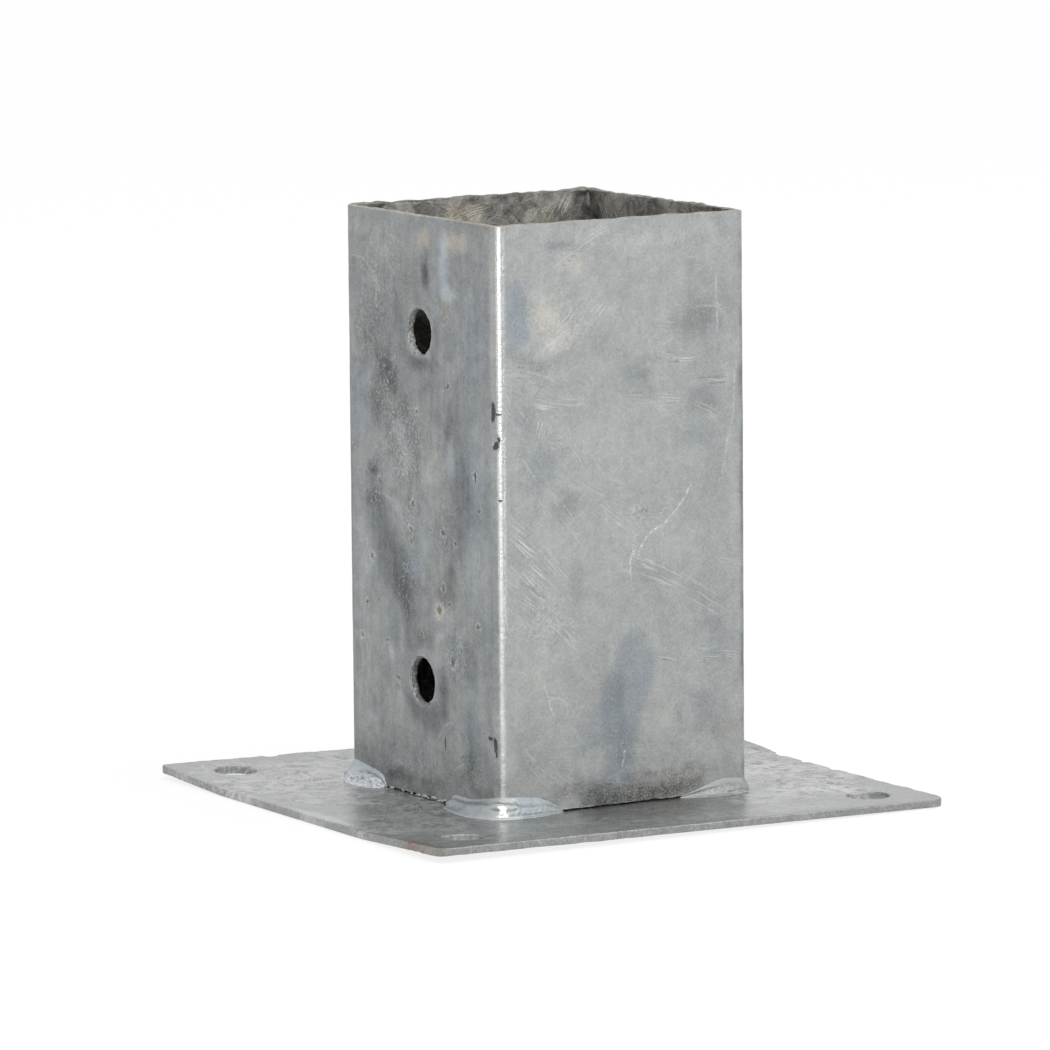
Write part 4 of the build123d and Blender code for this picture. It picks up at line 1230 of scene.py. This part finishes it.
def zinc(name, roughness=0.42, pits=False, bloom_size=5.0, bump_height=0.1, metal=0.85, edge=1.0):
    """A material of hot-dip zinc."""
    material = bpy.data.materials.new(name)
    material.use_nodes = True
    tree = material.node_tree
    tree.nodes.clear()
    metres = add_node(tree, "ShaderNodeTexCoord", None, "Object")
    place = metres.vector("MULTIPLY", {1: (1 / MM, 1 / MM, 1 / MM)})
    wall_place = stored(tree, "wall_place", "Vector")
    uneven, inside, tone, shine = (stored(tree, layer) for layer in ("uneven", "inside", "tone", "shine"))
    mottling = grain(place, 4.2, 5.0, 0.66, 0.6)
    fine = grain(place, 0.8, 4.0, 0.7)

    # The grey: 1 is plain zinc, and every unevenness adds to it or takes from it
    lightness = centred(grain(place, 17.0, 4.0, 0.6, 0.9), 0.45) * uneven + 1.0
    lightness += centred(mottling, 0.66) * uneven
    lightness += centred(fine, 0.46)
    lightness += centred(grain(place, 0.42, 2.0, 0.6), 0.36)
    lightness += centred(grain(wall_place, (2.4, 28.0, 1.0), 3.0, 0.6), 0.22) * uneven
    lightness += hairs(wall_place) * 0.12
    lightness += centred(mottling, 1.9) * inside
    lightness += tone * (mottling + 0.5) * 0.34
    lightness = lightness.math("MAXIMUM", DARKEST)

    # Its hue, from beige to blue
    temperature = stored(tree, "cool") * 0.95 + centred(grain(place, 11.0, 3.0, 0.5, 0.5), 1.3)
    temperature += centred(mottling, 0.5)
    beige_share = spread(temperature * -1.0, 0.0, 1.6)
    colour = tinted(spread(temperature, 0.0, 1.6), ZINC, ZINC_BLUE)
    colour = tinted(beige_share, colour, ZINC_BEIGE)
    colour = tinted(inside, colour, tinted(beige_share, INSIDE_GREY, INSIDE_BEIGE))
    colour = colour.vector("SCALE", {"Scale": lightness})

    # Whitish bloom in curled patches, with darker zinc between them
    bloom_noise = grain(place, bloom_size, 5.0, 0.66, 1.8)
    bloom_amount = stored(tree, "bloom")
    from_line = centred(grain(place, 1.2 * bloom_size, 3.0, 0.5, 2.4), 1.0).math("ABSOLUTE")
    swirls = spread(from_line, 0.045, 0.01) * spread(fine, 0.3, 0.6)
    bloom = swirls.math("MAXIMUM", spread(bloom_noise, 0.46, 0.6)) * bloom_amount
    bare = spread(bloom_noise, 0.46, 0.36) * bloom_amount
    colour = tinted(bare * 0.65, colour, ZINC_DARK)
    colour = tinted(bloom * 0.95, colour, ZINC_WHITE)

    # Sheaves of strokes and single scratches, and the painted highlight along the ridge beside the front bend
    stroke_place = wandering(stored(tree, "stroke_place", "Vector"), 7.0, (0.5, 0.5, 0.0))
    stroke_amount = stored(tree, "stroke_amount")
    stroke_noise = grain(stroke_place, (0.55, 12.0, 1.0), 2.0, 0.55)
    broad = spread(grain(stroke_place, (1.7, 10.0, 1.0), 1.0, 0.5), 0.4, 0.58, 0.35, 1.0)
    strokes = spread(stroke_noise, 0.52, 0.6) * broad * stroke_amount
    gaps = spread(stroke_noise, 0.46, 0.38) * stroke_amount
    colour = tinted(gaps * 0.08, colour, ZINC_DARK)
    distance = (centred(mottling, 0.9) + stored(tree, "line_place")).math("ABSOLUTE")
    line = spread(distance, 0.5, 0.12) * stored(tree, "line_amount") * spread(fine, 0.4, 0.62, 0.2, 0.9)
    scratched = strokes.math("MAXIMUM", line)
    colour = tinted(scratched * 0.6, colour, ZINC_PALE)

    # Grit, soot and rust
    grit_noise = grain(place, 0.7, 3.0, 0.75)
    grit_amount = stored(tree, "grit")
    colour = tinted(spread(grit_noise, 0.48, 0.36) * grit_amount * 0.45, colour, ZINC_DARK)
    colour = tinted(spread(grit_noise, 0.52, 0.66) * grit_amount * 0.5, colour, ZINC_PALE)
    soot_noise = grain(place, 0.5, 3.0, 0.75)
    soot_amount = stored(tree, "soot")
    sooty = soot_amount * spread(soot_noise, 0.45, 0.62, 0.95, 0.15) * spread(mottling, 0.3, 0.6, 1.0, 0.6)
    colour = tinted(sooty, colour, SOOT_BROWN)
    rust_patches = spread(mottling, 0.38, 0.58) * spread(fine, 0.35, 0.6, 0.3, 1.0)
    colour = tinted(stored(tree, "rust") * rust_patches, colour, RUST_BROWN)
    # Painted highlight: the rubbed front bend and the frozen drop of the front bead are paled.
    colour = tinted(shine * 0.3, colour, ZINC_PALE)

    # Height of the fine relief, in shares of bump_height
    height = fine * 0.8 + mottling * 1.3 + scratched * 0.9 + gaps * -0.12
    height += grit_noise * grit_amount * 2.2 + soot_noise * soot_amount * 2.0 + mottling * inside * 3.6
    if pits:
        moved = wandering(place, 1.0, (0.0, 1.1, 1.1))
        pit_distance = nearest_mark(moved, [(a, u, r, r) for a, u, r in PITS])
        slit_distance = nearest_mark(place, SLITS, 0.5)
        pits_and_shaded_slits = (spread(pit_distance, 0.7, 0.3) * 0.65).math("MAXIMUM", spread(slit_distance, 1.15, 0.8))
        ring = spread(pit_distance, 1.7, 1.1) * spread(pit_distance, 0.6, 0.9) * spread(fine, 0.4, 0.6)
        colour = tinted(ring * 0.42, colour, ZINC_PALE)
        # Painted shade darkens the slits as nicks; the pits get their dark core.
        colour = tinted(pits_and_shaded_slits * 0.93, colour, PIT_DARK_AND_SLIT_SHADE)
        height += pits_and_shaded_slits * -1.4 + ring * 0.6
    height *= shine * -0.6 + 1.0
    height += grain(wall_place, (5.0, 0.7, 1.0), 2.0, 0.5) * shine * 0.8
    bump = add_node(tree, "ShaderNodeBump", {"Height": height, "Strength": 1.0, "Distance": bump_height * MM})

    gloss = centred(mottling, 0.3) + roughness
    gloss += grit_amount * 0.1 + soot_amount * 0.3 + bloom * 0.12 + inside * 0.1 + shine * -0.2
    sockets = {"Base Color": colour, "Metallic": bloom * (-0.5 * metal) + metal, "Roughness": gloss, "Normal": bump,
               "Specular Tint": (edge, edge, edge, 1.0)}
    shader = add_node(tree, "ShaderNodeBsdfPrincipled", sockets)
    add_node(tree, "ShaderNodeOutputMaterial", {0: shader})
    print(name, "nodes", len(tree.nodes))
    return material


sheet_zinc = zinc("zinc_on_socket", pits=True)
plate_zinc = zinc("zinc_on_plate", roughness=0.27, bloom_size=7.0, bump_height=0.06, metal=0.72, edge=0.75)
bead_zinc = zinc("zinc_on_beads", roughness=0.46, bloom_size=1.6)

# %% [markdown]
# ## Hand each piece to its body
# The part has no moving pieces, so all of them ride on one body. Each row gives a piece, its material, the name
# of a finish of the parts list, and the CAD piece that it stands for, which is hidden.

# %% Finish, body and CAD piece
DRESSED = [
    (socket, sheet_zinc, "galvanised_sheet", "socket"),
    (plate, plate_zinc, "galvanised_sheet", "base_plate"),
    (seam, bead_zinc, "galvanised_weld", "seam_weld"),
]
for corner, bead in beads.items():
    store(bead, cool=1.1 if corner in ("front", "left") else 0.35)
    DRESSED.append((bead, bead_zinc, "galvanised_weld", "weld_" + corner))
DRESSED.append((drops, bead_zinc, "galvanised_weld", None))
for piece, material, finish, node in DRESSED:
    piece.data.materials.append(material)
    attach(piece, "root")
    if node:
        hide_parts(node)
print("pieces:", [piece.name for piece, material, finish, node in DRESSED])

# %% [markdown]
# ## Floor and background
# The part is shown on plain white. A floor that is only painted white would come out grey in the distance and
# would also throw too much light up. So what the camera and the metal's reflections see of the floor is a
# part-glowing white that still takes the soft shadow, and all other light meets an ordinary matt white.

# %% White floor that keeps the shadow


def seen_directly(tree):
    """1 for what the camera sees, also in a reflection or through the part, and 0 for all other light."""
    kinds = ("Camera", "Glossy", "Transmission")
    seen, *others = (add_node(tree, "ShaderNodeLightPath", None, "Is %s Ray" % kind) for kind in kinds)
    for other in others:
        seen = seen.math("MAXIMUM", other)
    return seen


FLOOR_HALF = 6.0
FLOOR_CLEARANCE = 0.2 * MM
FLOOR_GLOW = 0.8
FLOOR_MATT = 0.26
floor_mesh = bpy.data.meshes.new("floor")
corners = [(a * FLOOR_HALF, b * FLOOR_HALF, 0) for a, b in signs]
floor_mesh.from_pydata(corners, [], [(0, 1, 2, 3)])
floor = bpy.data.objects.new("floor", floor_mesh)
floor.location.z = -FLOOR_CLEARANCE
bpy.context.scene.collection.objects.link(floor)
floor_finish = bpy.data.materials.new("floor_white")
floor_finish.use_nodes = True
tree = floor_finish.node_tree
tree.nodes.clear()
glow = add_node(tree, "ShaderNodeEmission", {"Color": (1, 1, 1, 1), "Strength": FLOOR_GLOW})
part_matt = add_node(tree, "ShaderNodeBsdfDiffuse", {"Color": (FLOOR_MATT, FLOOR_MATT, FLOOR_MATT, 1)})
shown = add_node(tree, "ShaderNodeAddShader", {0: glow, 1: part_matt})
matt = add_node(tree, "ShaderNodeBsdfDiffuse", {"Color": (0.8, 0.8, 0.8, 1)})
mixed = add_node(tree, "ShaderNodeMixShader", {0: seen_directly(tree), 1: matt, 2: shown})
add_node(tree, "ShaderNodeOutputMaterial", {"Surface": mixed})
floor_mesh.materials.append(floor_finish)

# %% [markdown]
# ## Light
# The studio is a white room: an even white sky, one broad lamp from the right that lifts the plain wall, a weak
# lamp overhead, and a low lamp beside the camera whose reflection runs down the front bend as a bright line.
# That low lamp lights all pieces but the plate, which would mirror it like a window when seen from behind.

# %% Sky and lamps
SKY_LIGHT = 0.72
world = bpy.data.worlds.new("studio")
bpy.context.scene.world = world
world.use_nodes = True
tree = world.node_tree
tree.nodes.clear()
strength = seen_directly(tree) * (1.0 - SKY_LIGHT) + SKY_LIGHT
sky = add_node(tree, "ShaderNodeBackground", {"Color": (1, 1, 1, 1), "Strength": strength})
add_node(tree, "ShaderNodeOutputWorld", {"Surface": sky})


def lamp(name, azimuth, elevation, distance, width, height, watts, aim=(0, 0, 0.08)):
    """A soft rectangular lamp that faces the part. Azimuth 0 is in front of the plain wall, minus to its left."""
    data = bpy.data.lights.new(name, "AREA")
    data.shape, data.size, data.size_y, data.energy = "RECTANGLE", width, height, watts
    light = bpy.data.objects.new(name, data)
    a, e = math.radians(azimuth), math.radians(elevation)
    away = Vector((math.sin(a) * math.cos(e), -math.cos(a) * math.cos(e), math.sin(e)))
    light.location = Vector(aim) + away * distance
    light.rotation_euler = (-away).to_track_quat("-Z", "Y").to_euler()
    light.visible_camera = False
    bpy.context.scene.collection.objects.link(light)
    return light


lamp("broad_lamp", 40, 38, 1.6, 1.2, 1.0, 4.0)
strip = lamp("strip_lamp", -25, 9, 0.75, 0.5, 0.36, 2.4)
lit_by_strip = bpy.data.collections.new("lit_by_strip")
for piece in (socket, seam, drops, *beads.values()):
    lit_by_strip.objects.link(piece)
strip.light_linking.receiver_collection = lit_by_strip
lamp("top_lamp", -10, 80, 1.5, 1.2, 1.2, 2.5)

# %% [markdown]
# ## Camera
# The photograph was taken from far off with a long lens, a little above the part. The angle, distance and
# lens below were found by fitting the part's edges and holes to it. The slight roll is the photographer's.

# %% Camera at the photograph's angle
AZIMUTH, ELEVATION, ROLL = math.radians(-31.2846), math.radians(7.8553), math.radians(-0.5044)
TARGET = Vector((0, 0, 77.0)) * MM
DISTANCE = 1953.9 * MM
SHIFT_RIGHT, SHIFT_UP = -5.4045 * MM, -7.078 * MM
IMAGE_SIDE = 1050
LENS_IN_PIXELS = 7561.9
SENSOR = 36.0
back = Vector(
    (math.sin(AZIMUTH) * math.cos(ELEVATION), -math.cos(AZIMUTH) * math.cos(ELEVATION), math.sin(ELEVATION))
)
level = Vector((math.cos(AZIMUTH), math.sin(AZIMUTH), 0))
above = back.cross(level)
right = math.cos(ROLL) * level + math.sin(ROLL) * above
up = -math.sin(ROLL) * level + math.cos(ROLL) * above
camera_data = bpy.data.cameras.new("camera")
camera_data.sensor_width = SENSOR
camera_data.lens = LENS_IN_PIXELS * SENSOR / IMAGE_SIDE
camera_data.clip_end = 100.0
camera = bpy.data.objects.new("camera", camera_data)
camera.matrix_world = Matrix.Translation(TARGET + back * DISTANCE + right * SHIFT_RIGHT + up * SHIFT_UP) @ Matrix(
    (right, up, back)
).transposed().to_4x4()
bpy.context.scene.collection.objects.link(camera)
bpy.context.scene.camera = camera
bpy.context.scene.view_settings.view_transform = "Standard"
print("lens in mm:", round(camera_data.lens, 1))
